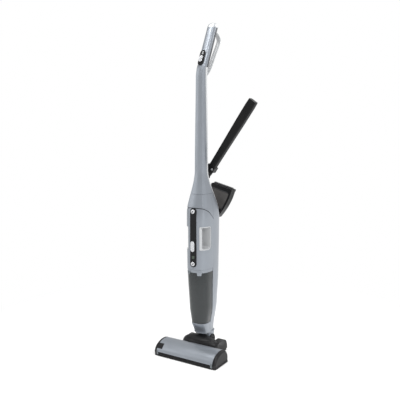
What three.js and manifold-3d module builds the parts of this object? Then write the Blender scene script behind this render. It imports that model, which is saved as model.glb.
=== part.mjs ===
// Cordless stick vacuum with a hand unit that docks in its stick.
// Millimetres, +Z up, front of the floor head towards -Y.
// The origin is on the floor, on the axis that the stick swivels about.
import * as THREE from 'three';
import { mergeVertices } from 'three/addons/utils/BufferGeometryUtils.js';
import Module from 'manifold-3d';

const wasm = await Module();
wasm.setup();

// ---------------------------------------------------------------- sizes
const GAP = 0.4; // between pieces that touch
const FAR = 2000; // larger than anything here, for cutting with half spaces

// heights of the stick, from the floor
const TOP_Z = 1140;
const GRIP_FOOT_Z = 985;
const FLARE_TOP_Z = 645;
const CANOPY_TOP_Z = 562;
const SHOULDER_Z = 478;
const DOCK_FLOOR_Z = 82;
const FOOT_BOTTOM_Z = 72;
const GRIP_CAP_HEIGHT = 16;
const GRIP_CAP_DOME = 34;
const GRIP_LEAN_DEG = 25;
const BEND_Z = 972; // where the grip starts to lean back
const BEND_BLEND = 26; // height over which it bends

// depth of the stick body: its centre line sits in front of the swivel axis
const STICK_Y = -34;
const STICK_HALF_WIDTH = 17;
const STICK_HALF_DEPTH = 20;
const BODY_HALF_WIDTH = 42;
const BODY_FRONT = 53; // ahead of the stick's centre line
const BODY_REAR = 82; // behind it
const FOOT_HALF_WIDTH = 26;
const WALL = 2.6;

// dock and hand unit, measured from the stick's centre line
const SEAM_Y = 11;
const TONGUE_HALF_WIDTH = 34;
const TONGUE_REAR = 30;
const LINER_WALL = 2.4;
const UNIT_CLEARANCE = 1;
const ARCH_FRONT_Z = 517;
const ARCH_REAR_Z = 463;
const UNIT_SHELL_BOTTOM_Z = 306;
const CUP_RING_HEIGHT = 11;
const NOSE_Y = 12;
const NOSE_RADIUS = 14; // at its root, and it tapers below
const NOSE_DEPTH = 8;
const NOSE_BORE = 9;
const SOCKET_CLEARANCE = 2; // the nose leans in its socket as the unit tips
const FOOT_FRONT = 16; // ahead of the stick's centre line
const CUP_BOTTOM_Z = 112;
const UNIT_WALL = 2.4;

// finger opening of the hand unit
const FINGER_BOTTOM_Z = 376;
const FINGER_TOP_Z = 451;
const FINGER_FRONT = -35;
const FINGER_REAR = -8;
const FINGER_CORNER = 9;
const HANDLE_HALF_WIDTH = 24; // the bar in front of the opening, open on both sides of it

// control strip on the hand unit's front
const STRIP_TOP_Z = 517;
const STRIP_BOTTOM_Z = 315;
const STRIP_HALF_WIDTH = 11.5;
const STRIP_THICKNESS = 5;
const STRIP_PROUD = 2;
const BUTTON_RADIUS = 7.2;
const BUTTON_PROUD = 3.4;
const BUTTON_THICKNESS = 4.6;
const SLIDER_HALF_WIDTH = 7.5;
const SLIDER_LENGTH = 36;
const SLIDER_Z = 387;
const SLIDER_THICKNESS = 4;

// grip slider
const GRIP_PLATE_Z = 1016;
const GRIP_SLIDER_DROP = 6; // the slider rests below the plate's middle
const GRIP_SLIDER_LENGTH = 24;
const GRIP_SLIDER_WIDTH = 13;
const GRIP_PLATE_LENGTH = 56;
const GRIP_PLATE_WIDTH = 20;
const GRIP_PLATE_THICKNESS = 3;

// hand loop behind the grip
const LOOP_FOOT_Z = 956;
const LOOP_BAR_WIDTH = 16;
const LOOP_BAR_THICKNESS = 6;
const LOOP_REACH = 52; // how far it stands behind the line from end to end

// pale cover down the back of the stick and its flare
const REAR_COVER_DEPTH = 18;
const REAR_COVER_FOOT_Z = 497;

// neck and its tilt joint
const PIVOT_Y = -10;
const PIVOT_Z = 44;
const BARREL_RADIUS = 16;
const BARREL_HALF_LENGTH = 20;
const ARM_THICKNESS = 6;
const DISC_RADIUS = 18;
const DISC_THICKNESS = 5;
const TILT_AXLE_RADIUS = 6;
const DUCT_RADIUS = 11;
const NECK_FRONT = -28;
const NECK_REAR = 26;
const NECK_BLOCK_Z = 62; // above this the neck is solid from front to rear

// floor head
const HEAD_LENGTH = 246;
const HEAD_FRONT = -150;
const HEAD_REAR = -60;
const HEAD_WALL = 2.6;
const END_CAP_WIDTH = 11;
const SOLE_THICKNESS = 5;
const TAIL_HALF_WIDTH = 68;
const TAIL_HEIGHT = 14;
const FAIRING_WIDTH = 24;
const FAIRING_TOP_Z = 42;
const HUMP_HALF_WIDTH = 70;
const HUMP_Y = -40;
const HUMP_DEPTH = 34;
const HUMP_TOP_Z = 64;
const HUMP_HEIGHT = 30;
const TAIL_REAR = 30;
const LIP_HEIGHT = 10;
const LIP_DEPTH = 7;
const ROLLER_RADIUS = 13;
const BRISTLE_LENGTH = 5;
const ROLLER_Y = -116;
const ROLLER_LIFT = 2.5; // bristle tips clear of the floor while the head stands on its sole
const ROLLER_Z = ROLLER_RADIUS + BRISTLE_LENGTH + ROLLER_LIFT;
const ROLLER_HEADROOM = 6.9; // bristle tips clear of the cover
const HEAD_HEIGHT = ROLLER_Z + ROLLER_RADIUS + BRISTLE_LENGTH + ROLLER_HEADROOM + HEAD_WALL;
const SLOT_HALF_DEPTH = ROLLER_RADIUS + BRISTLE_LENGTH + 2;
const BRISTLE_TURN_DEG = 150;
const BRISTLE_STRIPS = 2;
const PULLEY_WIDTH = 8;
const ROLLER_PULLEY_RADIUS = 10;
const MOTOR_PULLEY_RADIUS = 5;
const MOTOR_Y = -78;
const MOTOR_Z = 22;
const MOTOR_RADIUS = 11.5;
const MOTOR_LENGTH = 44;
const BELT_THICKNESS = 1.6;
const WHEEL_LIFT = 0.6; // the wheels hang just clear while the head stands on its sole
const REAR_WHEEL_RADIUS = 17;
const REAR_WHEEL_WIDTH = 12;
const REAR_WHEEL_X = 56;
const REAR_WHEEL_Y = 8;
const REAR_AXLE_RADIUS = 3;
const FRONT_WHEEL_RADIUS = 7;
const FRONT_WHEEL_WIDTH = 8;
const FRONT_WHEEL_INSET = 27; // from the end of the head
const FRONT_WHEEL_Y = -74;
const HEAD_BUTTON_LENGTH = 20;
const HEAD_BUTTON_DEPTH = 20;
const HEAD_BUTTON_Y = -139; // on the cover's front slope
const HEAD_BUTTON_Z = 34.5;
const HEAD_BUTTON_TILT_DEG = 42;
const HEAD_BUTTON_PROUD = 1.2;

// tools on the back of the stick
const HOLDER_Z = 628;
const CREVICE_LENGTH = 320;
const CREVICE_WIDTH = 31;
const CREVICE_DEPTH = 22;
const CREVICE_LEAN_DEG = 35;
const CREVICE_Y = 46; // behind the stick's centre line
const BRUSH_PIVOT_Z = 484;
const BRUSH_HEIGHT = 100;
const BRUSH_WIDTH = 84;
const BRUSH_DEPTH = 30;
const BRUSH_LEAN_DEG = 15;
const BRUSH_Y = 108; // behind the stick's centre line
const PIN_RADIUS = 4;

// ---------------------------------------------------------------- colours
const finish = (color, roughness, metalness) =>
  new THREE.MeshStandardMaterial({ color, roughness, metalness });
const SILVER = finish(0x9aa1aa, 0.35, 0.6);
const PALE = finish(0xcfd2d6, 0.5, 0.1);
const BLACK = finish(0x1b1b1d, 0.45, 0.0);
const DARK = finish(0x55585c, 0.4, 0.3);
const METAL = finish(0xc4c6c9, 0.25, 0.9);
const SMOKE = finish(0x3c484b, 0.1, 0.0);
const BRISTLE = finish(0x2c2c30, 0.9, 0.0);
const COPPER = finish(0xb0703c, 0.4, 0.8);
const GREEN = finish(0x2d5c3b, 0.6, 0.0);

// ---------------------------------------------------------------- solids
const asSolid = (geometry) => {
  const bare = geometry.clone();
  bare.deleteAttribute('normal');
  bare.deleteAttribute('uv');
  const merged = mergeVertices(bare, 1e-4);
  return new wasm.Manifold(new wasm.Mesh({
    numProp: 3,
    vertProperties: new Float32Array(merged.attributes.position.array),
    triVerts: new Uint32Array(merged.index.array),
  }));
};

const asGeometry = (solid) => {
  const mesh = solid.getMesh();
  const geometry = new THREE.BufferGeometry();
  geometry.setAttribute('position', new THREE.BufferAttribute(mesh.vertProperties, 3));
  geometry.setIndex(new THREE.BufferAttribute(mesh.triVerts, 1));
  geometry.computeVertexNormals();
  return geometry;
};

const chain = (verb) => (first, ...others) =>
  others.reduce((made, other) => made[verb](other), first);
const cut = chain('subtract');
const join = chain('add');
const keep = chain('intersect');

const extruded = (shape, depth, steps = 1, curveSegments = 6) =>
  new THREE.ExtrudeGeometry(shape, { depth, steps, curveSegments, bevelEnabled: false });

const box = (x0, x1, y0, y1, z0, z1) => {
  const geometry = new THREE.BoxGeometry(x1 - x0, y1 - y0, z1 - z0);
  geometry.translate((x0 + x1) / 2, (y0 + y1) / 2, (z0 + z1) / 2);
  return asSolid(geometry);
};

// a round bar along X, Y or Z, from one end to the other
const bar = (axis, radius, from, to, centre, segments = 16) => {
  const geometry = new THREE.CylinderGeometry(radius, radius, to - from, segments);
  if (axis === 'x') geometry.rotateZ(-Math.PI / 2);
  if (axis === 'z') geometry.rotateX(Math.PI / 2);
  const middle = (from + to) / 2;
  const place = { x: [middle, ...centre], y: [centre[0], middle, centre[1]], z: [...centre, middle] };
  geometry.translate(...place[axis]);
  return asSolid(geometry);
};

const ball = (radius, x, y, z) => {
  const geometry = new THREE.SphereGeometry(radius, 16, 10);
  geometry.rotateX(Math.PI / 2);
  geometry.translate(x, y, z);
  return asSolid(geometry);
};

// a plate in the XZ plane with round ends, upright, between two depths
const roundedPlate = (halfWidth, z0, z1, y0, y1, radius = halfWidth) => {
  const shape = new THREE.Shape();
  shape.moveTo(-halfWidth + radius, z0);
  shape.lineTo(halfWidth - radius, z0);
  shape.absarc(halfWidth - radius, z0 + radius, radius, -Math.PI / 2, 0);
  shape.lineTo(halfWidth, z1 - radius);
  shape.absarc(halfWidth - radius, z1 - radius, radius, 0, Math.PI / 2);
  shape.lineTo(-halfWidth + radius, z1);
  shape.absarc(-halfWidth + radius, z1 - radius, radius, Math.PI / 2, Math.PI);
  shape.lineTo(-halfWidth, z0 + radius);
  shape.absarc(-halfWidth + radius, z0 + radius, radius, Math.PI, Math.PI * 1.5);
  const geometry = extruded(shape, y1 - y0, 1, 8);
  geometry.rotateX(Math.PI / 2);
  geometry.translate(0, y1, 0);
  return asSolid(geometry);
};

// an outline in the YZ plane, pulled out along X
const sideways = (points, x0, x1, curve = false) => {
  const shape = curve ? points : new THREE.Shape(points.map(([y, z]) => new THREE.Vector2(y, z)));
  const geometry = extruded(shape, x1 - x0);
  // the outline's x runs along Y and its y along Z
  geometry.applyMatrix4(new THREE.Matrix4().makeBasis(
    new THREE.Vector3(0, 1, 0), new THREE.Vector3(0, 0, 1), new THREE.Vector3(1, 0, 0)));
  geometry.translate(x0, 0, 0);
  return asSolid(geometry);
};

// a value that eases from one station to the next
const eased = (stations) => (z) => {
  if (z <= stations[0][0]) return stations[0][1];
  for (let i = 1; i < stations.length; i += 1) {
    const [z0, v0] = stations[i - 1];
    const [z1, v1] = stations[i];
    if (z <= z1) return v0 + (v1 - v0) * THREE.MathUtils.smoothstep(z, z0, z1);
  }
  return stations[stations.length - 1][1];
};

const lean = Math.tan(THREE.MathUtils.degToRad(GRIP_LEAN_DEG));
// the centre line's depth: straight below the bend and leaning back above it
const centreY = (z) => {
  const above = z - BEND_Z;
  if (above <= -BEND_BLEND) return STICK_Y;
  if (above >= BEND_BLEND) return STICK_Y + lean * above;
  return STICK_Y + (lean * (above + BEND_BLEND) ** 2) / (4 * BEND_BLEND);
};

const halfWidthAt = eased([
  [FOOT_BOTTOM_Z, FOOT_HALF_WIDTH], [DOCK_FLOOR_Z + 90, BODY_HALF_WIDTH - 3],
  [SHOULDER_Z, BODY_HALF_WIDTH], [FLARE_TOP_Z, STICK_HALF_WIDTH + 1.5],
  [GRIP_FOOT_Z, STICK_HALF_WIDTH - 1], [TOP_Z, STICK_HALF_WIDTH - 2],
]);
const frontAt = eased([
  [FOOT_BOTTOM_Z, FOOT_FRONT], [CUP_BOTTOM_Z, 34], [UNIT_SHELL_BOTTOM_Z, BODY_FRONT - 1],
  [SHOULDER_Z, BODY_FRONT], [FLARE_TOP_Z, STICK_HALF_DEPTH + 2],
  [GRIP_FOOT_Z, STICK_HALF_DEPTH - 2], [TOP_Z, STICK_HALF_DEPTH - 1],
]);
const rearAt = eased([
  [FOOT_BOTTOM_Z, NECK_REAR - STICK_Y], [UNIT_SHELL_BOTTOM_Z, BODY_REAR - 2], [SHOULDER_Z, BODY_REAR],
  [FLARE_TOP_Z, STICK_HALF_DEPTH + 3], [GRIP_FOOT_Z, STICK_HALF_DEPTH - 2],
  [TOP_Z, STICK_HALF_DEPTH - 1],
]);

// an upright column whose section has the stick's squareness
const SQUARENESS = 2.9; // 2 is an ellipse, and more is squarer
const ROUND_SEGMENTS = 11; // facets on half of its outline
const squared = (v) => Math.sign(v) * Math.abs(v) ** (2 / SQUARENESS);
const roundColumn = (halfWidth, y0, y1, z0, z1) => {
  const circle = new THREE.Shape().absarc(0, 0, 1, 0, 2 * Math.PI);
  const geometry = extruded(circle, z1 - z0, 1, ROUND_SEGMENTS);
  const place = geometry.attributes.position;
  for (let i = 0; i < place.count; i += 1) {
    place.setXYZ(i, halfWidth * squared(place.getX(i)),
      (y0 + y1) / 2 + ((y1 - y0) / 2) * squared(place.getY(i)), z0 + place.getZ(i));
  }
  return asSolid(geometry);
};

// heights at which the outer form has a ring of points: close together where it curves
const RINGS = [[FOOT_BOTTOM_Z, 5], [200, 2], [470, 8], [FLARE_TOP_Z, 1], [BEND_Z - BEND_BLEND, 4],
  [BEND_Z + BEND_BLEND, 2], [TOP_Z, 0]];
const ringHeights = RINGS.slice(0, -1).flatMap(([z, count], i) => {
  const next = RINGS[i + 1][0];
  return Array.from({ length: count }, (_, n) => z + ((next - z) * n) / count);
}).concat(TOP_Z);

// the whole outer form of the stick, drawn in by an inset
const forms = new Map();
const wholeForm = (inset) => {
  if (forms.has(inset)) return forms.get(inset);
  const circle = new THREE.Shape().absarc(0, 0, 1, 0, 2 * Math.PI);
  const steps = ringHeights.length - 1;
  const geometry = extruded(circle, steps, steps, ROUND_SEGMENTS);
  const place = geometry.attributes.position;
  for (let i = 0; i < place.count; i += 1) {
    const z = ringHeights[Math.round(place.getZ(i))];
    const across = squared(place.getX(i));
    const along = squared(place.getY(i));
    const reach = along < 0 ? frontAt(z) : rearAt(z);
    place.setXYZ(i, across * (halfWidthAt(z) - inset), centreY(z) + along * (reach - inset), z);
  }
  forms.set(inset, asSolid(geometry));
  return forms.get(inset);
};
const bodyForm = (z0, z1, inset = 0) => keep(wholeForm(inset), box(-FAR, FAR, -FAR, FAR, z0, z1));

const ahead = (y, z0 = -FAR, z1 = FAR) => box(-FAR, FAR, -FAR, y, z0, z1);
const behind = (y, z0 = -FAR, z1 = FAR) => box(-FAR, FAR, y, FAR, z0, z1);

// the space under the arched seam over the hand unit, raised by a clearance
const archDepth = STICK_Y - BODY_FRONT - 10;
const underArch = (raise) => {
  const shape = new THREE.Shape();
  const rear = STICK_Y + TONGUE_REAR + raise;
  shape.moveTo(archDepth, 0);
  shape.lineTo(rear, 0);
  shape.lineTo(rear, ARCH_REAR_Z - 12 + raise);
  shape.bezierCurveTo(
    STICK_Y + SEAM_Y, ARCH_REAR_Z + 14 + raise,
    STICK_Y - BODY_FRONT * 0.4, ARCH_FRONT_Z + raise,
    archDepth, ARCH_FRONT_Z + raise);
  return sideways(shape, -BODY_HALF_WIDTH - 10, BODY_HALF_WIDTH + 10, true);
};

// ---------------------------------------------------------------- the scene
const vacuum = new THREE.Group();
vacuum.name = 'cordless_stick_vacuum';
const piece = (name, solid, material) => {
  const mesh = new THREE.Mesh(asGeometry(solid), material);
  mesh.name = name;
  vacuum.add(mesh);
  return mesh;
};

// ---------------------------------------------------------------- stick
const seam = STICK_Y + SEAM_Y;

// the space of the rear cover, whose front edge keeps one depth from the back of the stick
const rearCoverSpace = (grow) => {
  const top = GRIP_FOOT_Z + 10;
  const foot = REAR_COVER_FOOT_Z - grow;
  const edge = (z) => [STICK_Y + rearAt(z) - REAR_COVER_DEPTH - grow, z];
  const heights = ringHeights.filter((z) => z > foot + 1 && z < BEND_Z);
  return sideways([edge(foot), [FAR, foot], [FAR, top], [STICK_Y - grow, top],
    ...heights.reverse().map(edge)], -BODY_HALF_WIDTH - 10, BODY_HALF_WIDTH + 10);
};

function stickCovers() {
  const wall = (z0) => cut(bodyForm(z0, GRIP_FOOT_Z), wholeForm(WALL));
  piece('stick_front_cover', cut(wall(CANOPY_TOP_Z + GAP), rearCoverSpace(GAP)), SILVER);
  piece('stick_rear_cover', keep(wall(REAR_COVER_FOOT_Z), rearCoverSpace(0)), PALE);
}

function grip() {
  const z0 = GRIP_FOOT_Z + GAP;
  const z1 = TOP_Z - GRIP_CAP_HEIGHT;
  const wall = cut(bodyForm(z0, z1), wholeForm(WALL));
  // the seam between the grip's halves leans back with it
  const seamAt = (z, side) => [centreY(z) + (side * GAP) / 2, z];
  const frontHalf = sideways([
    seamAt(z0 - 2, -1), seamAt(z1 + 2, -1), [-FAR, z1 + 2], [-FAR, z0 - 2]], -60, 60);
  const rearHalf = sideways([
    seamAt(z0 - 2, 1), [FAR, z0 - 2], [FAR, z1 + 2], seamAt(z1 + 2, 1)], -60, 60);
  piece('grip_front', keep(wall, frontHalf), SILVER);
  piece('grip_rear', keep(wall, rearHalf), BLACK);
  const dome = ball(GRIP_CAP_DOME, 0, centreY(TOP_Z), TOP_Z - GRIP_CAP_DOME);
  piece('grip_cap', keep(bodyForm(z1 + GAP, TOP_Z), dome), METAL);
}

function loop() {
  const z0 = LOOP_FOOT_Z;
  const z1 = TOP_Z - GRIP_CAP_HEIGHT - 14;
  const startY = centreY(z0) + rearAt(z0) + GAP;
  const endY = centreY(z1) + rearAt(z1) + GAP;
  const path = new THREE.CatmullRomCurve3([
    new THREE.Vector3(0, startY, z0),
    new THREE.Vector3(0, startY + LOOP_REACH * 0.55, z0 + 26),
    new THREE.Vector3(0, startY + LOOP_REACH * 1.25, z0 + 82),
    new THREE.Vector3(0, endY + LOOP_REACH * 0.55, z1 - 26),
    new THREE.Vector3(0, endY + LOOP_REACH * 0.35, z1 - 6),
    new THREE.Vector3(0, endY, z1),
  ]);
  const section = new THREE.Shape();
  section.absellipse(0, 0, LOOP_BAR_WIDTH / 2, LOOP_BAR_THICKNESS / 2, 0, 2 * Math.PI);
  const geometry = new THREE.ExtrudeGeometry(section, { steps: 22, curveSegments: 6, extrudePath: path });
  piece('hand_loop', cut(asSolid(geometry), wholeForm(-GAP)), PALE);
}

function gripControls() {
  const lift = (z) => centreY(z) - frontAt(z);
  const tilt = THREE.MathUtils.degToRad(GRIP_LEAN_DEG);
  const face = lift(GRIP_PLATE_Z);
  const normal = new THREE.Vector3(0, -Math.cos(tilt), Math.sin(tilt));
  const place = (solid, out) => {
    // pieces are drawn upright at the origin, leant back and moved to the grip's face
    const geometry = asGeometry(solid);
    geometry.rotateX(-tilt);
    geometry.translate(0, face + normal.y * out, GRIP_PLATE_Z + normal.z * out);
    return asSolid(geometry);
  };
  const plateHalf = GRIP_PLATE_LENGTH / 2;
  const plate = roundedPlate(GRIP_PLATE_WIDTH / 2, -plateHalf, plateHalf, -GRIP_PLATE_THICKNESS, 0);
  piece('grip_slider_plate', cut(place(plate, 0.6), wholeForm(-GAP)), BLACK);
  const sliderHalf = GRIP_SLIDER_LENGTH / 2;
  const ridge = (z) => bar('x', 0.9, -GRIP_SLIDER_WIDTH / 2 + 2, GRIP_SLIDER_WIDTH / 2 - 2, [-4, z], 8);
  const low = -GRIP_SLIDER_DROP;
  const slider = join(roundedPlate(GRIP_SLIDER_WIDTH / 2, low - sliderHalf, low + sliderHalf, -4, 0),
    ridge(low - 4), ridge(low), ridge(low + 4));
  piece('grip_slider', place(slider, GRIP_PLATE_THICKNESS + 0.6 + GAP), METAL);
}

// ---------------------------------------------------------------- dock
// a cone standing on its narrow end, on the nose's own axis
const noseCone = (radius, z0, z1, taper) => {
  const geometry = new THREE.CylinderGeometry(radius, radius - taper, z1 - z0, 24);
  geometry.rotateX(Math.PI / 2);
  geometry.translate(0, STICK_Y + NOSE_Y, (z0 + z1) / 2);
  return asSolid(geometry);
};

// the seat for the hand unit's nose, and the duct below it
const noseSocket = join(
  noseCone(NOSE_RADIUS + SOCKET_CLEARANCE, CUP_BOTTOM_Z - NOSE_DEPTH - UNIT_CLEARANCE, CUP_BOTTOM_Z, 1.5),
  bar('z', DUCT_RADIUS, 0, CUP_BOTTOM_Z, [0, STICK_Y + NOSE_Y]));

function dock() {
  const canopyShell = cut(bodyForm(ARCH_REAR_Z - 20, CANOPY_TOP_Z), wholeForm(WALL));
  // a floor over the hand unit closes the canopy
  const ceiling = cut(keep(bodyForm(ARCH_REAR_Z - 20, CANOPY_TOP_Z, WALL / 2),
    underArch(UNIT_CLEARANCE + WALL)), underArch(UNIT_CLEARANCE));
  const canopy = cut(join(canopyShell, ceiling), underArch(UNIT_CLEARANCE), stripSpace(UNIT_CLEARANCE));
  piece('dock_canopy', keep(canopy, ahead(seam - GAP)), SILVER);

  const back = cut(bodyForm(DOCK_FLOOR_Z, CANOPY_TOP_Z), bodyForm(DOCK_FLOOR_Z + WALL, FAR, WALL));
  piece('rear_housing', cut(keep(back, behind(seam)), noseSocket, rearCoverSpace(GAP)), SILVER);

  // the pale wall between the hand unit and the back of the stick
  const linerY = STICK_Y + TONGUE_REAR + UNIT_CLEARANCE;
  const inside = wholeForm(WALL + GAP);
  const liner = keep(inside, box(-FAR, FAR, linerY, linerY + LINER_WALL, DOCK_FLOOR_Z + 38, ARCH_FRONT_Z));
  piece('dock_liner', liner, PALE);
  const contactZ = UNIT_SHELL_BOTTOM_Z + 40;
  piece('charge_contacts', box(-9, 9, linerY + LINER_WALL + GAP, linerY + LINER_WALL + 8,
    contactZ, contactZ + 16), COPPER);
  piece('dock_latch', box(-7, 7, linerY + LINER_WALL + GAP, linerY + LINER_WALL + 8,
    ARCH_REAR_Z - 40, ARCH_REAR_Z - 22), BLACK);

  // wires from the grip's switch down to the charging contacts
  const loomPath = new THREE.CatmullRomCurve3([
    new THREE.Vector3(0, centreY(GRIP_FOOT_Z) + 4, GRIP_FOOT_Z - 8),
    new THREE.Vector3(0, STICK_Y + 4, 900),
    new THREE.Vector3(0, STICK_Y + 4, FLARE_TOP_Z),
    new THREE.Vector3(0, linerY + 12, ARCH_FRONT_Z + 20),
    new THREE.Vector3(0, linerY + 16, contactZ + 60),
    new THREE.Vector3(0, linerY + 12, contactZ + 20),
  ]);
  const wire = new THREE.Shape().absarc(0, 0, 2.5, 0, 2 * Math.PI);
  piece('wiring_loom', asSolid(new THREE.ExtrudeGeometry(wire,
    { steps: 36, curveSegments: 4, extrudePath: loomPath })), BLACK);
}

function foot() {
  const block = bodyForm(FOOT_BOTTOM_Z, CUP_BOTTOM_Z - UNIT_CLEARANCE);
  const clear = behind(seam - GAP, DOCK_FLOOR_Z - GAP, FAR);
  piece('dock_foot', cut(block, noseSocket, clear), SILVER);
}

// ---------------------------------------------------------------- hand unit
const stripSpace = (gap) => roundedPlate(STRIP_HALF_WIDTH + gap, STRIP_BOTTOM_Z - gap, STRIP_TOP_Z + gap,
  -FAR, STICK_Y - BODY_FRONT - STRIP_PROUD + STRIP_THICKNESS + gap);
const unitOuter = (z0, z1, inset) => keep(bodyForm(z0, z1, inset), ahead(seam - GAP - inset));
const tongue = (z0, z1, inset) => keep(
  box(-TONGUE_HALF_WIDTH + inset, TONGUE_HALF_WIDTH - inset,
    seam - 12, STICK_Y + TONGUE_REAR - inset, z0, z1),
  wholeForm(WALL + UNIT_CLEARANCE + inset));

function handUnit() {
  const shellTop = ARCH_FRONT_Z + 2;
  const z0 = UNIT_SHELL_BOTTOM_Z;
  const whole = (inset, grow) => keep(
    join(unitOuter(z0 - grow, shellTop, inset), tongue(z0 - grow, ARCH_REAR_Z, inset)),
    underArch(-inset));
  // the opening runs from side to side and comes forward on each side of the handle bar
  const fingerSpace = (grow) => {
    const ring = roundedPlate((FINGER_REAR - FINGER_FRONT) / 2 + grow, FINGER_BOTTOM_Z - grow,
      FINGER_TOP_Z + grow, -FAR, FAR, FINGER_CORNER + grow);
    const geometry = asGeometry(ring);
    geometry.rotateZ(Math.PI / 2);
    geometry.translate(0, STICK_Y + (FINGER_FRONT + FINGER_REAR) / 2, 0);
    const inner = HANDLE_HALF_WIDTH - grow;
    const middle = STICK_Y + (FINGER_FRONT + FINGER_REAR) / 2;
    const side = (x0, x1) => box(x0, x1, -FAR, middle, FINGER_BOTTOM_Z - grow, FINGER_TOP_Z + grow);
    return join(asSolid(geometry), side(inner, FAR), side(-FAR, -inner));
  };
  const shell = cut(whole(0, 0), whole(UNIT_WALL, 1), fingerSpace(UNIT_WALL + GAP), stripSpace(GAP));
  piece('unit_shell_left', keep(shell, box(-FAR, -GAP / 2, -FAR, FAR, 0, FAR)), SILVER);
  piece('unit_shell_right', keep(shell, box(GAP / 2, FAR, -FAR, FAR, 0, FAR)), SILVER);
  piece('finger_liner', keep(cut(fingerSpace(UNIT_WALL), fingerSpace(0)), wholeForm(GAP)), PALE);

  // black strip with round ends
  const face = STICK_Y - BODY_FRONT - STRIP_PROUD;
  const stripBack = face + STRIP_THICKNESS;
  const strip = roundedPlate(STRIP_HALF_WIDTH, STRIP_BOTTOM_Z, STRIP_TOP_Z, face, stripBack);
  const holeFor = (z, clearance) => bar('y', BUTTON_RADIUS + clearance, face - 5, stripBack + 5, [0, z]);
  const buttonZ = [STRIP_TOP_Z - STRIP_HALF_WIDTH, STRIP_BOTTOM_Z + STRIP_HALF_WIDTH];
  piece('control_strip', cut(strip, ...buttonZ.map((z) => holeFor(z, GAP))), BLACK);
  ['unit_release_button', 'cup_release_button'].forEach((name, i) => {
    const z = buttonZ[i];
    const out = face - BUTTON_PROUD;
    const cap = bar('y', BUTTON_RADIUS, out, out + BUTTON_THICKNESS, [0, z]);
    const dimple = bar('y', 2, out - 1, out + 1, [0, z], 12);
    piece(name, cut(cap, dimple), METAL);
  });
  const sliderFace = face - GAP;
  piece('power_slider', roundedPlate(SLIDER_HALF_WIDTH, SLIDER_Z - SLIDER_LENGTH / 2,
    SLIDER_Z + SLIDER_LENGTH / 2, sliderFace - SLIDER_THICKNESS, sliderFace), METAL);

  // inside the shell
  const midY = STICK_Y - 2;
  piece('battery_pack', keep(box(-24, 24, STICK_Y + FINGER_REAR + UNIT_WALL + 2, STICK_Y + TONGUE_REAR - 5,
    FINGER_BOTTOM_Z - 10, ARCH_REAR_Z - 26), wholeForm(UNIT_WALL + 1)), BLACK);
  piece('circuit_board', box(-9, 9, stripBack + 4.5, stripBack + 6.1,
    STRIP_BOTTOM_Z + 10, FINGER_TOP_Z + 20), GREEN);
  const motorTop = FINGER_BOTTOM_Z - UNIT_WALL - 14;
  const upright = (radius, from, to, segments) => bar('z', radius, from, to, [0, midY], segments);
  piece('motor_housing', cut(upright(24, z0 + 22, motorTop), upright(21, z0 + 21, motorTop - 3),
    upright(5, motorTop - 4, motorTop + 1)), DARK);
  piece('motor_rotor', join(upright(17, z0 + 27, motorTop - 8), upright(2.5, z0 + 4, motorTop - 6, 12)), COPPER);
  const blade = (i) => {
    const geometry = new THREE.BoxGeometry(20, 1.6, 8);
    geometry.translate(13, 0, 0);
    geometry.rotateZ((i * Math.PI) / 4);
    geometry.translate(0, midY, z0 + 13);
    return asSolid(geometry);
  };
  const hub = cut(join(upright(24, z0 + 7, z0 + 9.4), upright(6, z0 + 7, z0 + 17),
    ...Array.from({ length: 8 }, (_, i) => blade(i))), upright(2.5 + GAP, z0, z0 + 30, 12));
  piece('impeller', hub, METAL);
}

function dustCup() {
  const ringTop = UNIT_SHELL_BOTTOM_Z - GAP;
  const ringBottom = UNIT_SHELL_BOTTOM_Z - CUP_RING_HEIGHT;
  const form = (z0, z1, inset) => join(unitOuter(z0, z1, inset), tongue(z0, z1, inset));
  const ring = cut(form(ringBottom, ringTop, 0.6), bar('z', 27, 0, FAR, [0, STICK_Y - 8], 20));
  const tabs = [-1, 1].map((side) => box(side * 20 - 6, side * 20 + 6,
    STICK_Y - BODY_FRONT + 1, STICK_Y - BODY_FRONT + 8, ringBottom - 6, ringBottom + 4));
  const cupTop = ringBottom - GAP;
  const tabSpace = [-1, 1].map((side) => box(side * 20 - 7, side * 20 + 7,
    STICK_Y - BODY_FRONT - 5, STICK_Y - BODY_FRONT + 9, ringBottom - 7, cupTop + 2));
  piece('cup_ring', join(ring, ...tabs), SILVER);

  const outer = form(CUP_BOTTOM_Z, cupTop, 1);
  const inner = form(CUP_BOTTOM_Z + UNIT_WALL, cupTop + 2, 1 + UNIT_WALL);
  const inlet = bar('z', 11, CUP_BOTTOM_Z - 5, CUP_BOTTOM_Z + 8, [0, STICK_Y + NOSE_Y], 14);
  piece('dust_cup', cut(outer, inner, inlet, ...tabSpace), SMOKE);

  // the nose plugs into the foot, and lifts out of it as the unit tips on its front edge
  const nose = cut(noseCone(NOSE_RADIUS, CUP_BOTTOM_Z - NOSE_DEPTH, CUP_BOTTOM_Z - GAP, 2),
    bar('z', NOSE_BORE, 0, CUP_BOTTOM_Z, [0, STICK_Y + NOSE_Y], 20));
  piece('inlet_nose', nose, PALE);
  piece('inlet_flap', box(-12, 12, STICK_Y + NOSE_Y - 12, STICK_Y + NOSE_Y + 12,
    CUP_BOTTOM_Z + UNIT_WALL + GAP, CUP_BOTTOM_Z + UNIT_WALL + GAP + 1.6), BLACK);

  const filterY = STICK_Y - 8;
  const filterTop = ringTop - 2;
  piece('filter_cartridge', cut(bar('z', 26, filterTop - 52, filterTop, [0, filterY], 20),
    bar('z', 18, filterTop - 49, filterTop + 1, [0, filterY], 16)), DARK);
  piece('cyclone_mesh', cut(bar('z', 20, filterTop - 104, filterTop - 52 - GAP, [0, filterY], 16),
    bar('z', 17.5, filterTop - 105, filterTop - 56, [0, filterY], 16)), METAL);
}

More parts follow.
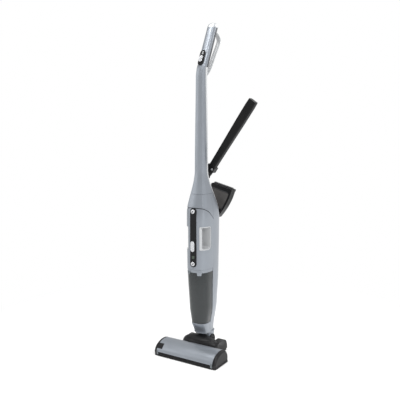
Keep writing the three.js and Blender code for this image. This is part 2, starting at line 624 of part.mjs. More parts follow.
// ---------------------------------------------------------------- tools
function tools() {
  const holderY = STICK_Y + CREVICE_Y;
  const creviceFront = holderY - CREVICE_DEPTH / 2;
  const stickRear = STICK_Y + rearAt(HOLDER_Z);
  const clear = wholeForm(-GAP);
  const seat = cut(box(-13, 13, STICK_Y, creviceFront - GAP, HOLDER_Z - 16, HOLDER_Z + 14), clear);
  const pin = bar('y', PIN_RADIUS, stickRear + 3, holderY + CREVICE_DEPTH / 2 + 6, [0, HOLDER_Z], 16);
  piece('tool_holder', cut(join(seat, pin), clear), BLACK);

  // the crevice tool is drawn upright on its pin, then leans to the right
  const creviceLean = THREE.MathUtils.degToRad(CREVICE_LEAN_DEG);
  const taper = eased([[-22, 0.45], [40, 0.8], [CREVICE_LENGTH - 60, 1], [CREVICE_LENGTH, 1]]);
  const tube = (inset, z0, z1) => {
    const shape = new THREE.Shape();
    const w = CREVICE_WIDTH / 2 - inset;
    const d = CREVICE_DEPTH / 2 - inset;
    const r = 5 - inset;
    shape.moveTo(-w + r, -d);
    shape.lineTo(w - r, -d);
    shape.absarc(w - r, -d + r, r, -Math.PI / 2, 0);
    shape.absarc(w - r, d - r, r, 0, Math.PI / 2);
    shape.absarc(-w + r, d - r, r, Math.PI / 2, Math.PI);
    shape.absarc(-w + r, -d + r, r, Math.PI, Math.PI * 1.5);
    const geometry = extruded(shape, z1 - z0, 6, 2);
    const place = geometry.attributes.position;
    for (let i = 0; i < place.count; i += 1) {
      const z = z0 + place.getZ(i);
      const end = z > CREVICE_LENGTH - 50 ? Math.sqrt(1 - ((z - CREVICE_LENGTH + 50) / 72) ** 2) : 1;
      place.setXYZ(i, place.getX(i) * taper(z) * end, place.getY(i), z);
    }
    return asSolid(geometry);
  };
  const tip = -22;
  const hollow = tube(2, tip - 4, CREVICE_LENGTH - 18);
  const boss = bar('y', PIN_RADIUS + 3, -CREVICE_DEPTH / 2, CREVICE_DEPTH / 2, [0, 0], 20);
  const body = cut(join(cut(tube(0, tip, CREVICE_LENGTH - 22), hollow), boss),
    bar('y', PIN_RADIUS + GAP, -40, 40, [0, 0], 16));
  const creviceGeometry = asGeometry(body);
  creviceGeometry.rotateY(creviceLean);
  creviceGeometry.translate(0, holderY, HOLDER_Z);
  piece('crevice_tool', asSolid(creviceGeometry), BLACK);

  // upholstery brush: a fan-shaped nozzle on a lower pin
  const brushY = STICK_Y + BRUSH_Y;
  const brushFront = brushY - BRUSH_DEPTH / 2;
  const rearHere = STICK_Y + rearAt(BRUSH_PIVOT_Z);
  const brushPin = bar('y', PIN_RADIUS, rearHere - 10, brushY + BRUSH_DEPTH / 2 + 3, [0, BRUSH_PIVOT_Z]);
  const brushSeat = box(-10, 10, rearHere - 14, brushFront - GAP, BRUSH_PIVOT_Z - 12, BRUSH_PIVOT_Z + 12);
  piece('brush_holder', cut(join(brushSeat, brushPin), clear), BLACK);
  const fan = (inset) => {
    const shape = new THREE.Shape();
    const w = BRUSH_WIDTH / 2 - inset;
    shape.moveTo(-12 + inset, -14 + inset);
    shape.lineTo(12 - inset, -14 + inset);
    shape.quadraticCurveTo(w, BRUSH_HEIGHT * 0.45, w, BRUSH_HEIGHT + (inset ? 10 : 0));
    shape.lineTo(-w, BRUSH_HEIGHT + (inset ? 10 : 0));
    shape.quadraticCurveTo(-w, BRUSH_HEIGHT * 0.45, -12 + inset, -14 + inset);
    const depth = BRUSH_DEPTH - 2 * inset;
    const geometry = extruded(shape, depth, 1, 10);
    geometry.rotateX(Math.PI / 2);
    geometry.translate(0, depth / 2, 0);
    return asSolid(geometry);
  };
  const lug = bar('y', PIN_RADIUS + 3, -BRUSH_DEPTH / 2, BRUSH_DEPTH / 2, [0, 0], 14);
  const nozzle = cut(join(cut(fan(0), fan(2.4)), lug), bar('y', PIN_RADIUS + GAP, -60, 60, [0, 0], 16));
  const brushLean = THREE.MathUtils.degToRad(BRUSH_LEAN_DEG);
  const place = (solid) => {
    const geometry = asGeometry(solid);
    geometry.rotateY(brushLean);
    geometry.translate(0, brushY, BRUSH_PIVOT_Z);
    return asSolid(geometry);
  };
  piece('brush_tool', place(nozzle), BLACK);
  piece('brush_tool_bristles', place(box(-BRUSH_WIDTH / 2 + 5, BRUSH_WIDTH / 2 - 5,
    -4, 4, BRUSH_HEIGHT - 8, BRUSH_HEIGHT + 5)), BRISTLE);
}

// ---------------------------------------------------------------- neck
function neck() {
  const armOuter = BARREL_HALF_LENGTH + GAP + ARM_THICKNESS;
  const top = FOOT_BOTTOM_Z - GAP;
  const centre = [PIVOT_Y, PIVOT_Z];
  const arms = join(bar('x', DISC_RADIUS, -armOuter, armOuter, centre, 20),
    box(-armOuter, armOuter, PIVOT_Y - DISC_RADIUS, PIVOT_Y + DISC_RADIUS, PIVOT_Z, top));
  const block = box(-armOuter, armOuter, NECK_FRONT, NECK_REAR, NECK_BLOCK_Z, top);
  const inner = BARREL_HALF_LENGTH + GAP;
  const slot = box(-inner, inner, -FAR, FAR, 0, PIVOT_Z + 4);
  const clearance = bar('x', BARREL_RADIUS + 1, -inner, inner, centre, 20);
  const axle = bar('x', TILT_AXLE_RADIUS + GAP, -FAR, FAR, centre, 16);
  const ductHole = bar('z', DUCT_RADIUS, 0, FAR, [0, PIVOT_Y]);
  const column = roundColumn(armOuter, NECK_FRONT, NECK_REAR, 0, top);
  piece('neck_fork', cut(keep(join(arms, block), column), slot, clearance, axle, ductHole), SILVER);
  const out = BARREL_HALF_LENGTH + GAP + ARM_THICKNESS + GAP;
  // a headed pin goes in from the right, and a cap closes it on the left
  const pinEnd = out + DISC_THICKNESS / 2;
  const disc = (from, to) => bar('x', DISC_RADIUS, from, to, [PIVOT_Y, PIVOT_Z], 14);
  piece('tilt_axle', join(bar('x', TILT_AXLE_RADIUS, -pinEnd, pinEnd, [PIVOT_Y, PIVOT_Z], 20),
    disc(out, out + DISC_THICKNESS)), BLACK);
  piece('pivot_cap', cut(disc(-out - DISC_THICKNESS, -out),
    bar('x', TILT_AXLE_RADIUS + GAP, -pinEnd - GAP, 0, [PIVOT_Y, PIVOT_Z], 20)), BLACK);
}

// ---------------------------------------------------------------- floor head
// outline of the head's cover in the YZ plane, drawn in by an inset
const headOutline = (inset) => {
  const shape = new THREE.Shape();
  const front = HEAD_FRONT + inset;
  const rear = HEAD_REAR - inset;
  const top = HEAD_HEIGHT - inset;
  const foot = inset ? -5 : SOLE_THICKNESS + GAP;
  shape.moveTo(front + 2, foot);
  shape.lineTo(front, foot + 8);
  shape.bezierCurveTo(front + 2, top - 14, front + 24, top, front + 52, top);
  shape.bezierCurveTo(front + 74, top, rear - 8, top - 8, rear, top - 26);
  shape.lineTo(rear, foot);
  return shape;
};

function floorHead() {
  const half = HEAD_LENGTH / 2;
  const coverHalf = half - END_CAP_WIDTH - GAP;
  // the button's room is square to the slope, so that it presses straight in
  const buttonRoom = (grow) => {
    const reach = HEAD_BUTTON_DEPTH / 2 + grow;
    const geometry = asGeometry(box(-half, -coverHalf + HEAD_BUTTON_LENGTH + grow, -reach, reach, -12, 12));
    geometry.rotateX(THREE.MathUtils.degToRad(HEAD_BUTTON_TILT_DEG));
    geometry.translate(0, HEAD_BUTTON_Y, HEAD_BUTTON_Z);
    return asSolid(geometry);
  };
  const coverSolid = cut(sideways(headOutline(0), -coverHalf, coverHalf, true),
    sideways(headOutline(HEAD_WALL), -coverHalf - 1, coverHalf + 1, true));
  const lipRoom = box(-coverHalf - 1, coverHalf + 1, HEAD_FRONT - 5, HEAD_FRONT + LIP_DEPTH,
    0, SOLE_THICKNESS + LIP_HEIGHT + GAP);
  piece('head_cover', cut(coverSolid, hump(GAP), buttonRoom(GAP), lipRoom), SILVER);
  [['left', -1], ['right', 1]].forEach(([name, side]) => {
    const x = [side * (half - END_CAP_WIDTH), side * half].sort((a, b) => a - b);
    // each cap is closed on its outer side and open towards the roller
    const room = x.map((edge) => edge - side * HEAD_WALL);
    piece(`end_cap_${name}`, cut(sideways(headOutline(0), x[0], x[1], true),
      sideways(headOutline(HEAD_WALL), room[0], room[1], true)), BLACK);
  });

  const slot = box(-coverHalf + 4, coverHalf - 4, ROLLER_Y - SLOT_HALF_DEPTH, ROLLER_Y + SLOT_HALF_DEPTH,
    -1, SOLE_THICKNESS + 1);
  const wheelRoom = (x, y, radius, width) => box(x - width / 2 - 1.5, x + width / 2 + 1.5,
    y - radius - 1.5, y + radius + 1.5, -1, SOLE_THICKNESS + 1);
  const rooms = [-1, 1].flatMap((side) => [
    wheelRoom(side * (half - FRONT_WHEEL_INSET), FRONT_WHEEL_Y, FRONT_WHEEL_RADIUS, FRONT_WHEEL_WIDTH),
    wheelRoom(side * REAR_WHEEL_X, REAR_WHEEL_Y, REAR_WHEEL_RADIUS, REAR_WHEEL_WIDTH)]);
  const plate = join(box(-half, half, HEAD_FRONT + 3, HEAD_REAR, 0, SOLE_THICKNESS),
    box(-TAIL_HALF_WIDTH, TAIL_HALF_WIDTH, HEAD_REAR - 1, TAIL_REAR, 0, SOLE_THICKNESS));
  piece('sole_plate', cut(plate, slot, ...rooms), BLACK);
  piece('front_lip', box(-coverHalf, coverHalf, HEAD_FRONT - 1, HEAD_FRONT + LIP_DEPTH - GAP,
    SOLE_THICKNESS + GAP, SOLE_THICKNESS + LIP_HEIGHT), BLACK);
  const button = cut(sideways(headOutline(-HEAD_BUTTON_PROUD), -coverHalf, 0, true),
    sideways(headOutline(HEAD_WALL), -half, 1, true));
  piece('roller_release_button', keep(button, buttonRoom(0)), BLACK);
  roller(coverHalf);
  wheels();
  pivotHousing();
}

function roller(coverHalf) {
  const reach = coverHalf - 8;
  const core = bar('x', ROLLER_RADIUS, -reach + PULLEY_WIDTH + 4, reach, [ROLLER_Y, ROLLER_Z], 14);
  const stub = bar('x', 4, -coverHalf + 1, coverHalf - 1, [ROLLER_Y, ROLLER_Z], 14);
  const length = 2 * reach - PULLEY_WIDTH - 8;
  for (let n = 0; n < BRISTLE_STRIPS; n += 1) {
    const strip = new THREE.Shape();
    strip.moveTo(ROLLER_RADIUS + 0.6, -2);
    strip.lineTo(ROLLER_RADIUS + BRISTLE_LENGTH, -1.4);
    strip.lineTo(ROLLER_RADIUS + BRISTLE_LENGTH, 1.4);
    strip.lineTo(ROLLER_RADIUS + 0.6, 2);
    const geometry = extruded(strip, length, 14);
    const place = geometry.attributes.position;
    const turn = THREE.MathUtils.degToRad(BRISTLE_TURN_DEG) / length;
    for (let i = 0; i < place.count; i += 1) {
      const angle = turn * place.getZ(i) + (n * 2 * Math.PI) / BRISTLE_STRIPS;
      const [x, y, z] = [place.getX(i), place.getY(i), place.getZ(i)];
      const [cos, sin] = [Math.cos(angle), Math.sin(angle)];
      place.setXYZ(i, x * cos - y * sin, x * sin + y * cos, z);
    }
    geometry.rotateY(Math.PI / 2);
    geometry.translate(-reach + PULLEY_WIDTH + 6, ROLLER_Y, ROLLER_Z);
    piece(`bristle_strip_${n + 1}`, asSolid(geometry), BRISTLE);
  }
  const pulleyX = -reach;
  const pulley = (radius, y, z) => bar('x', radius, pulleyX, pulleyX + PULLEY_WIDTH, [y, z], 16);
  piece('roller_core', join(core, stub, pulley(ROLLER_PULLEY_RADIUS, ROLLER_Y, ROLLER_Z)), DARK);
  const motorX = pulleyX + PULLEY_WIDTH + 6;
  piece('motor_pulley', join(pulley(MOTOR_PULLEY_RADIUS, MOTOR_Y, MOTOR_Z),
    bar('x', 1.5, pulleyX, motorX + 6, [MOTOR_Y, MOTOR_Z], 10)), METAL);
  piece('roller_motor', cut(bar('x', MOTOR_RADIUS, motorX, motorX + MOTOR_LENGTH, [MOTOR_Y, MOTOR_Z], 16),
    bar('x', 1.5 + GAP, motorX - 1, motorX + 7, [MOTOR_Y, MOTOR_Z], 10)), METAL);
  const belt = (grow) => {
    // an open belt touches each pulley where its straight runs leave them
    const run = Math.hypot(MOTOR_Y - ROLLER_Y, MOTOR_Z - ROLLER_Z);
    const tilt = Math.atan2(MOTOR_Z - ROLLER_Z, MOTOR_Y - ROLLER_Y);
    const wrap = Math.acos((ROLLER_PULLEY_RADIUS - MOTOR_PULLEY_RADIUS) / run);
    const shape = new THREE.Shape();
    shape.absarc(ROLLER_Y, ROLLER_Z, ROLLER_PULLEY_RADIUS + grow, tilt + wrap, tilt - wrap + 2 * Math.PI);
    shape.absarc(MOTOR_Y, MOTOR_Z, MOTOR_PULLEY_RADIUS + grow, tilt - wrap, tilt + wrap);
    return sideways(shape, pulleyX + 1, pulleyX + PULLEY_WIDTH - 1, true);
  };
  const innerBelt = asGeometry(belt(GAP));
  innerBelt.scale(1.5, 1, 1);
  innerBelt.translate(-0.5 * (pulleyX + PULLEY_WIDTH / 2), 0, 0);
  piece('drive_belt', cut(belt(GAP + BELT_THICKNESS), asSolid(innerBelt)), BLACK);
}

function wheels() {
  [['left', -1], ['right', 1]].forEach(([name, side]) => {
    const rearZ = REAR_WHEEL_RADIUS + WHEEL_LIFT;
    const x = side * REAR_WHEEL_X;
    const [from, to] = [x - REAR_WHEEL_WIDTH / 2, x + REAR_WHEEL_WIDTH / 2];
    piece(`rear_wheel_${name}`, cut(bar('x', REAR_WHEEL_RADIUS, from, to, [REAR_WHEEL_Y, rearZ], 20),
      bar('x', REAR_AXLE_RADIUS + GAP, -FAR, FAR, [REAR_WHEEL_Y, rearZ], 14)), DARK);
    const fx = side * (HEAD_LENGTH / 2 - FRONT_WHEEL_INSET);
    const frontZ = FRONT_WHEEL_RADIUS + WHEEL_LIFT;
    piece(`front_wheel_${name}`, bar('x', FRONT_WHEEL_RADIUS, fx - FRONT_WHEEL_WIDTH / 2,
      fx + FRONT_WHEEL_WIDTH / 2, [FRONT_WHEEL_Y, frontZ], 20), DARK);
  });
}

// the black hump that fills the back of the cover, drawn out by a gap
const hump = (gap) => {
  const geometry = new THREE.SphereGeometry(1, 20, 12);
  geometry.rotateX(Math.PI / 2);
  geometry.scale(HUMP_HALF_WIDTH + gap, HUMP_DEPTH + gap, HUMP_HEIGHT + gap);
  geometry.translate(0, HUMP_Y, HUMP_TOP_Z - HUMP_HEIGHT);
  return asSolid(geometry);
};

// the housing behind the cover carries the tilt barrel and covers the rear wheels
function pivotHousing() {
  const foot = SOLE_THICKNESS + GAP;
  const base = box(-TAIL_HALF_WIDTH, TAIL_HALF_WIDTH, HEAD_REAR + GAP, TAIL_REAR, foot, TAIL_HEIGHT);
  const profile = new THREE.Shape();
  profile.moveTo(HEAD_REAR + GAP, foot);
  profile.lineTo(TAIL_REAR, foot);
  profile.lineTo(TAIL_REAR, TAIL_HEIGHT);
  const wheelTop = REAR_WHEEL_RADIUS * 2;
  profile.quadraticCurveTo(TAIL_REAR - 2, wheelTop + 8, REAR_WHEEL_Y - 6, wheelTop + 10);
  profile.lineTo(HEAD_REAR + 30, FAIRING_TOP_Z);
  profile.lineTo(HEAD_REAR + GAP, FAIRING_TOP_Z - 12);
  const fairings = [-1, 1].map((side) => {
    const outer = side * TAIL_HALF_WIDTH;
    const x = [outer, outer - side * FAIRING_WIDTH].sort((a, b) => a - b);
    return sideways(profile, x[0], x[1], true);
  });
  const centre = [PIVOT_Y, PIVOT_Z];
  const barrel = bar('x', BARREL_RADIUS, -BARREL_HALF_LENGTH, BARREL_HALF_LENGTH, centre, 20);
  const pedestal = box(-BARREL_HALF_LENGTH, BARREL_HALF_LENGTH, PIVOT_Y - BARREL_RADIUS + 2,
    PIVOT_Y + BARREL_RADIUS / 2, TAIL_HEIGHT - 1, PIVOT_Z);
  const front = keep(hump(0), ahead(PIVOT_Y - DISC_RADIUS - GAP, foot));
  const frontFoot = box(-HUMP_HALF_WIDTH + 14, HUMP_HALF_WIDTH - 14, HEAD_REAR + GAP,
    PIVOT_Y - DISC_RADIUS - GAP, TAIL_HEIGHT - 1, HUMP_TOP_Z - HUMP_HEIGHT);
  const wells = [-1, 1].map((side) => {
    const x = side * REAR_WHEEL_X;
    const halfWell = REAR_WHEEL_WIDTH / 2 + 1;
    return join(
      bar('x', REAR_WHEEL_RADIUS + 1.5, x - halfWell, x + halfWell,
        [REAR_WHEEL_Y, REAR_WHEEL_RADIUS + WHEEL_LIFT], 20),
      box(x - halfWell, x + halfWell, REAR_WHEEL_Y - REAR_WHEEL_RADIUS - 1.5,
        REAR_WHEEL_Y + REAR_WHEEL_RADIUS + 1.5, 0, REAR_WHEEL_RADIUS));
  });
  const axleHole = bar('x', TILT_AXLE_RADIUS + GAP, -BARREL_HALF_LENGTH - 1, BARREL_HALF_LENGTH + 1, centre);
  // the wheels turn on stubs moulded across their wells
  const axles = [-1, 1].map((side) => {
    const x = side * REAR_WHEEL_X;
    return bar('x', REAR_AXLE_RADIUS, x - REAR_WHEEL_WIDTH / 2 - 2, x + REAR_WHEEL_WIDTH / 2 + 2,
      [REAR_WHEEL_Y, REAR_WHEEL_RADIUS + WHEEL_LIFT], 14);
  });
  // the hump is hollow and open towards the sole
  const room = join(keep(hump(-HEAD_WALL), ahead(PIVOT_Y - DISC_RADIUS - GAP - HEAD_WALL, foot)),
    box(-HUMP_HALF_WIDTH + 18, HUMP_HALF_WIDTH - 18, HEAD_REAR + GAP + HEAD_WALL,
      PIVOT_Y - DISC_RADIUS - GAP - HEAD_WALL, 0, HUMP_TOP_Z - HUMP_HEIGHT));
  const housing = cut(join(base, ...fairings, barrel, pedestal, frontFoot, front), axleHole, room, ...wells);
  piece('pivot_housing', join(housing, ...axles), BLACK);
}

stickCovers();
grip();
loop();
gripControls();
dock();
foot();
handUnit();
dustCup();
tools();
neck();
floorHead();

export default vacuum;
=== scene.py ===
import math

import bmesh
import bpy
from bpy.props import FloatProperty, FloatVectorProperty, IntProperty, PointerProperty
from mathutils import Matrix, Vector


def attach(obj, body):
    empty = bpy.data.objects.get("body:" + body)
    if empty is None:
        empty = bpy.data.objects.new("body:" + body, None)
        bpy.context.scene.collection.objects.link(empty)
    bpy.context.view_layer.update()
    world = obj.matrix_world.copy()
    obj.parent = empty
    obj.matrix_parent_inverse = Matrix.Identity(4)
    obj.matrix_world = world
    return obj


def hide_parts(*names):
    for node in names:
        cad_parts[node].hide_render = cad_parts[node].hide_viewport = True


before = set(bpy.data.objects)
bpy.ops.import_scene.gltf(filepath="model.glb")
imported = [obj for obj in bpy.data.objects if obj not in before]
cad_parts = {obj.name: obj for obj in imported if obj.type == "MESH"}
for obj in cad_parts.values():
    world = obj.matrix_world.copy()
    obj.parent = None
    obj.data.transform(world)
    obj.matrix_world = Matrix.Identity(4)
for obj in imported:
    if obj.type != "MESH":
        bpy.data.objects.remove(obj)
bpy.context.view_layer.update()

bl_info = {
    "name": "Stick Vacuum",
    "version": (1, 0, 0),
    "blender": (4, 5, 0),
    "location": "View3D > Sidebar > Stick Vacuum",
    "description": "Builds a cordless stick vacuum round its packed frame",
    "category": "Object",
}

MM = 0.001
FAR = 2000.0

# heights and depths of the stick, in millimetres
TOP_Z = 1140.0
GRIP_FOOT_Z = 985.0
CANOPY_TOP_Z = 562.0
DOCK_FLOOR_Z = 82.0
FOOT_BOTTOM_Z = 72.0
GRIP_CAP_HEIGHT = 16.0
GRIP_LEAN = math.radians(25.0)
BEND_Z = 972.0
BEND_BLEND = 26.0
STICK_Y = -34.0
SQUARENESS = 2.9
WALL = 2.6
GAP = 0.4
SEAM_Y = STICK_Y + 11.0
REAR_COVER_FOOT_Z = 497.0
REAR_COVER_DEPTH = 18.0
TONGUE_HALF_WIDTH = 34.0
TONGUE_REAR_Y = STICK_Y + 30.0
ARCH_FRONT_Z = 517.0
ARCH_REAR_Z = 463.0
SHELL_BOTTOM_Z = 306.0
RING_BOTTOM_Z = 295.0
CUP_BOTTOM_Z = 112.0
NOSE_Y = -22.0
STRIP_FACE_Y = -89.0
STRIP_TOP_Z = 517.0
STRIP_BOTTOM_Z = 315.0
STRIP_HALF_WIDTH = 11.5
FINGER_FRONT_Y = -69.0
FINGER_REAR_Y = -42.0
FINGER_BOTTOM_Z = 376.0
FINGER_TOP_Z = 451.0
HANDLE_HALF_WIDTH = 24.0
PIVOT_Y = -10.0
PIVOT_Z = 44.0
COVER_HALF = 111.6
HEAD_FRONT_Y = -150.0
HEAD_REAR_Y = -60.0
HEAD_TOP_Z = 48.0
HEAD_FOOT_Z = 5.4
HEAD_SLOPE = math.radians(42.0)
TAIL_HALF = 68
TAIL_REAR_Y = 30
HUMP_CENTRE = (0, -40.0, 34.0)
HUMP_REACH = (70, 34, 30)
ROLLER_Y = -116.0
ROLLER_Z = 20.5
REAR_WHEEL = (56, 8.0, 17.6)
FRONT_WHEEL = (96, -74.0, 7.6)
NECK_HALF_WIDTH = 26.4
FORK_GAP_HALF = 20.4
PIN_BORE = 6.4
CUP_AXIS = (0, STICK_Y - 8)
UNIT_KEY_Z = 505.5
CUP_KEY_Z = 326.5
CREVICE_PIN = (STICK_Y + 46.0, 628.0)
CREVICE_LEAN = 35.0
BRUSH_PIN = (STICK_Y + 108.0, 484.0)
BRUSH_LEAN = 15.0

HALF_WIDTH = [(72, 26), (172, 39), (478, 42), (645, 18.5), (985, 16), (1140, 15)]
FRONT_REACH = [(72, 16), (112, 34), (306, 52), (478, 53), (645, 22), (985, 18), (1140, 19)]
REAR_REACH = [(72, 60), (306, 80), (478, 82), (645, 23), (985, 18), (1140, 19)]


# ------------------------------------------------------------------ outer form
def smooth(z, low, high):
    k = min(max((z - low) / (high - low), 0.0), 1.0)
    return k * k * (3 - 2 * k)


def eased(stations, z):
    if z <= stations[0][0]:
        return stations[0][1]
    for (z0, v0), (z1, v1) in zip(stations, stations[1:]):
        if z <= z1:
            return v0 + (v1 - v0) * smooth(z, z0, z1)
    return stations[-1][1]


def centre_y(z):
    above = z - BEND_Z
    if above <= -BEND_BLEND:
        return STICK_Y
    if above >= BEND_BLEND:
        return STICK_Y + math.tan(GRIP_LEAN) * above
    return STICK_Y + math.tan(GRIP_LEAN) * (above + BEND_BLEND) ** 2 / (4 * BEND_BLEND)


def rear_y(z):
    return centre_y(z) + eased(REAR_REACH, z)


def front_y(z):
    return centre_y(z) - eased(FRONT_REACH, z)


def squared(v, power=SQUARENESS):
    return math.copysign(abs(v) ** (2 / power), v)


def creased_quarter(q):
    """Share of half width and of reach, from the side (0) to the middle of the front (1)."""
    if q < 0.25:
        return 1.0, 0.42 * q / 0.25
    if q < 0.5:
        k = (q - 0.25) / 0.25
        return 1 - 0.22 * k, 0.42 + 0.48 * k
    s = 0.78 * (1 - (q - 0.5) / 0.5)
    return s, 1 - 0.1 * (s / 0.78) ** 2


def crease_share(z):
    """The flat front facet fades out over the hand unit and on the grip."""
    return smooth(z, 478, 532) * (1 - smooth(z, 978, 1000))


def ring(z, inset, count, y_shift=0.0):
    across_reach = eased(HALF_WIDTH, z) - inset
    front = eased(FRONT_REACH, z) - inset
    rear = eased(REAR_REACH, z) - inset
    crease = crease_share(z)
    points = []
    for i in range(count):
        angle = 2 * math.pi * i / count
        across, along = squared(math.cos(angle)), squared(math.sin(angle))
        if along < 0 and crease > 0:
            turned = angle - math.pi
            q = min(turned, math.pi - turned) / (math.pi / 2)
            s, d = creased_quarter(q)
            across = across * (1 - crease) + math.copysign(s, math.cos(angle)) * crease
            along = along * (1 - crease) - d * crease
        reach = front if along < 0 else rear
        points.append((across * across_reach, centre_y(z) + along * reach + y_shift, z))
    return points


# ------------------------------------------------------------------ solids
def solid(points, faces, name="part"):
    mesh = bpy.data.meshes.new(name)
    mesh.from_pydata([tuple(p) for p in points], [], faces)
    mesh.update()
    made = bpy.data.objects.new(name, mesh)
    bpy.context.scene.collection.objects.link(made)
    return made


def outward(work):
    shape = bmesh.new()
    shape.from_mesh(work.data)
    bmesh.ops.recalc_face_normals(shape, faces=shape.faces)
    shape.to_mesh(work.data)
    shape.free()
    return work


def loft(rings, closed_ends=True, ring_closed=False):
    """A skin through rings of points, capped at both ends."""
    count = len(rings[0])
    points = [p for row in rings for p in row]
    faces = []
    rows = len(rings) if ring_closed else len(rings) - 1
    for r in range(rows):
        a, b = r * count, ((r + 1) % len(rings)) * count
        for i in range(count):
            j = (i + 1) % count
            faces.append((a + i, a + j, b + j, b + i))
    if closed_ends and not ring_closed:
        faces.append(tuple(range(count - 1, -1, -1)))
        faces.append(tuple((len(rings) - 1) * count + i for i in range(count)))
    return outward(solid(points, faces))


def heights(z0, z1, step):
    count = max(2, int(round((z1 - z0) / step)) + 1)
    return [z0 + (z1 - z0) * i / (count - 1) for i in range(count)]


def column(z0, z1, inset=0.0, step=5.0):
    sides = bpy.context.scene.vacuum_sizes.form_segments
    return loft([ring(z, inset, sides) for z in heights(z0, z1, step)])


def slab(x0, x1, y0, y1, z0, z1):
    corners = [(x, y, z) for x in (x0, x1) for y in (y0, y1) for z in (z0, z1)]
    faces = [(0, 1, 3, 2), (4, 6, 7, 5), (0, 4, 5, 1), (2, 3, 7, 6), (0, 2, 6, 4), (1, 5, 7, 3)]
    return outward(solid(corners, faces))


# where a flat outline's two coordinates and the distance along the axis go
PLACES = {
    "x": lambda u, v, t: (t, u, v),
    "y": lambda u, v, t: (u, t, v),
    "z": lambda u, v, t: (u, v, t),
}


def prism(outline, axis, a, b):
    """An outline pulled along an axis: (y, z) for x, (x, z) for y and (x, y) for z."""
    return loft([[PLACES[axis](*p, t) for p in outline] for t in (a, b)])


def quadratic(p, steps, first=0):
    """Points of a curve with one control point between its ends."""
    return [(1 - t) ** 2 * p[0] + 2 * t * (1 - t) * p[1] + t * t * p[2]
            for t in [n / steps for n in range(first, steps + 1)]]


def cubic(p, steps, last=True):
    """Points of a curve with two control points between its ends."""
    return [((1 - t) ** 3) * p[0] + 3 * t * (1 - t) ** 2 * p[1] + 3 * t * t * (1 - t) * p[2]
            + t ** 3 * p[3] for t in [n / steps for n in range(steps + last)]]


def circle(radius, centre, count=64):
    angles = [2 * math.pi * i / count for i in range(count)]
    return [(centre[0] + radius * math.cos(a), centre[1] + radius * math.sin(a)) for a in angles]


def rod(axis, radius, a, b, centre, count=64):
    return prism(circle(radius, centre, count), axis, a, b)


def rounded(x0, x1, z0, z1, radius, count=12):
    """Outline of a rectangle with round corners."""
    points = []
    for cx, cz, quarter in ((x1 - radius, z0 + radius, 3), (x1 - radius, z1 - radius, 0),
                            (x0 + radius, z1 - radius, 1), (x0 + radius, z0 + radius, 2)):
        for i in range(count + 1):
            angle = math.pi / 2 * (quarter + i / count)
            points.append((cx + radius * math.cos(angle), cz + radius * math.sin(angle)))
    return points


def turned(profile, axis, centre, count=72, bored=False):
    """A turned shape: (radius, height) pairs along the axis, closed on themselves if bored."""
    rings = [[PLACES[axis](*p, h) for p in circle(r, centre, count)] for r, h in profile]
    return loft(rings, ring_closed=bored)


def ball(centre, reach, count, rows):
    """A squashed ball, by its reach along each axis."""
    rings = []
    for n in range(1, rows):
        polar = math.pi * n / rows
        across, height = math.sin(polar), centre[2] - reach[2] * math.cos(polar)
        rings.append([(centre[0] + reach[0] * across * math.cos(a),
                       centre[1] + reach[1] * across * math.sin(a), height)
                      for a in [2 * math.pi * i / count for i in range(count)]])
    return loft(rings)


def carve(work, how, others):
    for other in others:
        step = work.modifiers.new("carve", "BOOLEAN")
        step.operation, step.solver, step.object = how, "EXACT", other
        bpy.context.view_layer.update()
        made = bpy.data.meshes.new_from_object(
            work.evaluated_get(bpy.context.evaluated_depsgraph_get()))
        if not made.polygons:
            raise RuntimeError("carving left nothing of a piece")
        work.modifiers.clear()
        spent = work.data
        work.data = made
        bpy.data.meshes.remove(spent)
        bpy.data.objects.remove(other)
    return work


def cut(work, *others):
    return carve(work, "DIFFERENCE", others)


def keep(work, *others):
    return carve(work, "INTERSECT", others)


def fuse(work, *others):
    return carve(work, "UNION", others)


def moved(work, matrix):
    work.data.transform(matrix)
    return work


def leant(work, degrees, y, z):
    """Turns a part drawn upright at the origin about its pin and puts the pin in place."""
    return moved(work, Matrix.Translation((0, y, z)) @ Matrix.Rotation(math.radians(degrees), 4,
                                                                       "Y"))


def fit(work, name, body, coat, nodes=(), edge=0.5, sharp=30.0):
    """Names a finished part, rounds its edges, shades it and hangs it on its body."""
    shape = bmesh.new()
    shape.from_mesh(work.data)
    bmesh.ops.remove_doubles(shape, verts=shape.verts, dist=0.02)
    bmesh.ops.dissolve_degenerate(shape, edges=shape.edges, dist=0.01)
    shape.to_mesh(work.data)
    shape.free()
    work.data.transform(Matrix.Scale(MM, 4))
    work.name = name
    work.data.name = name
    for face in work.data.polygons:
        face.use_smooth = True
    work.data.set_sharp_from_angle(angle=math.radians(sharp))
    if edge:
        soft = work.modifiers.new("soft_edges", "BEVEL")
        soft.width, soft.segments = edge * MM, 3
        soft.limit_method, soft.angle_limit = "ANGLE", math.radians(sharp)
        soft.use_clamp_overlap = True
        even = work.modifiers.new("even_shading", "WEIGHTED_NORMAL")
        even.keep_sharp = False
        even.weight = 50
    work.data.materials.clear()
    work.data.materials.append(finish(coat))
    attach(work, body)
    if nodes:
        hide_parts(*nodes)
    return work


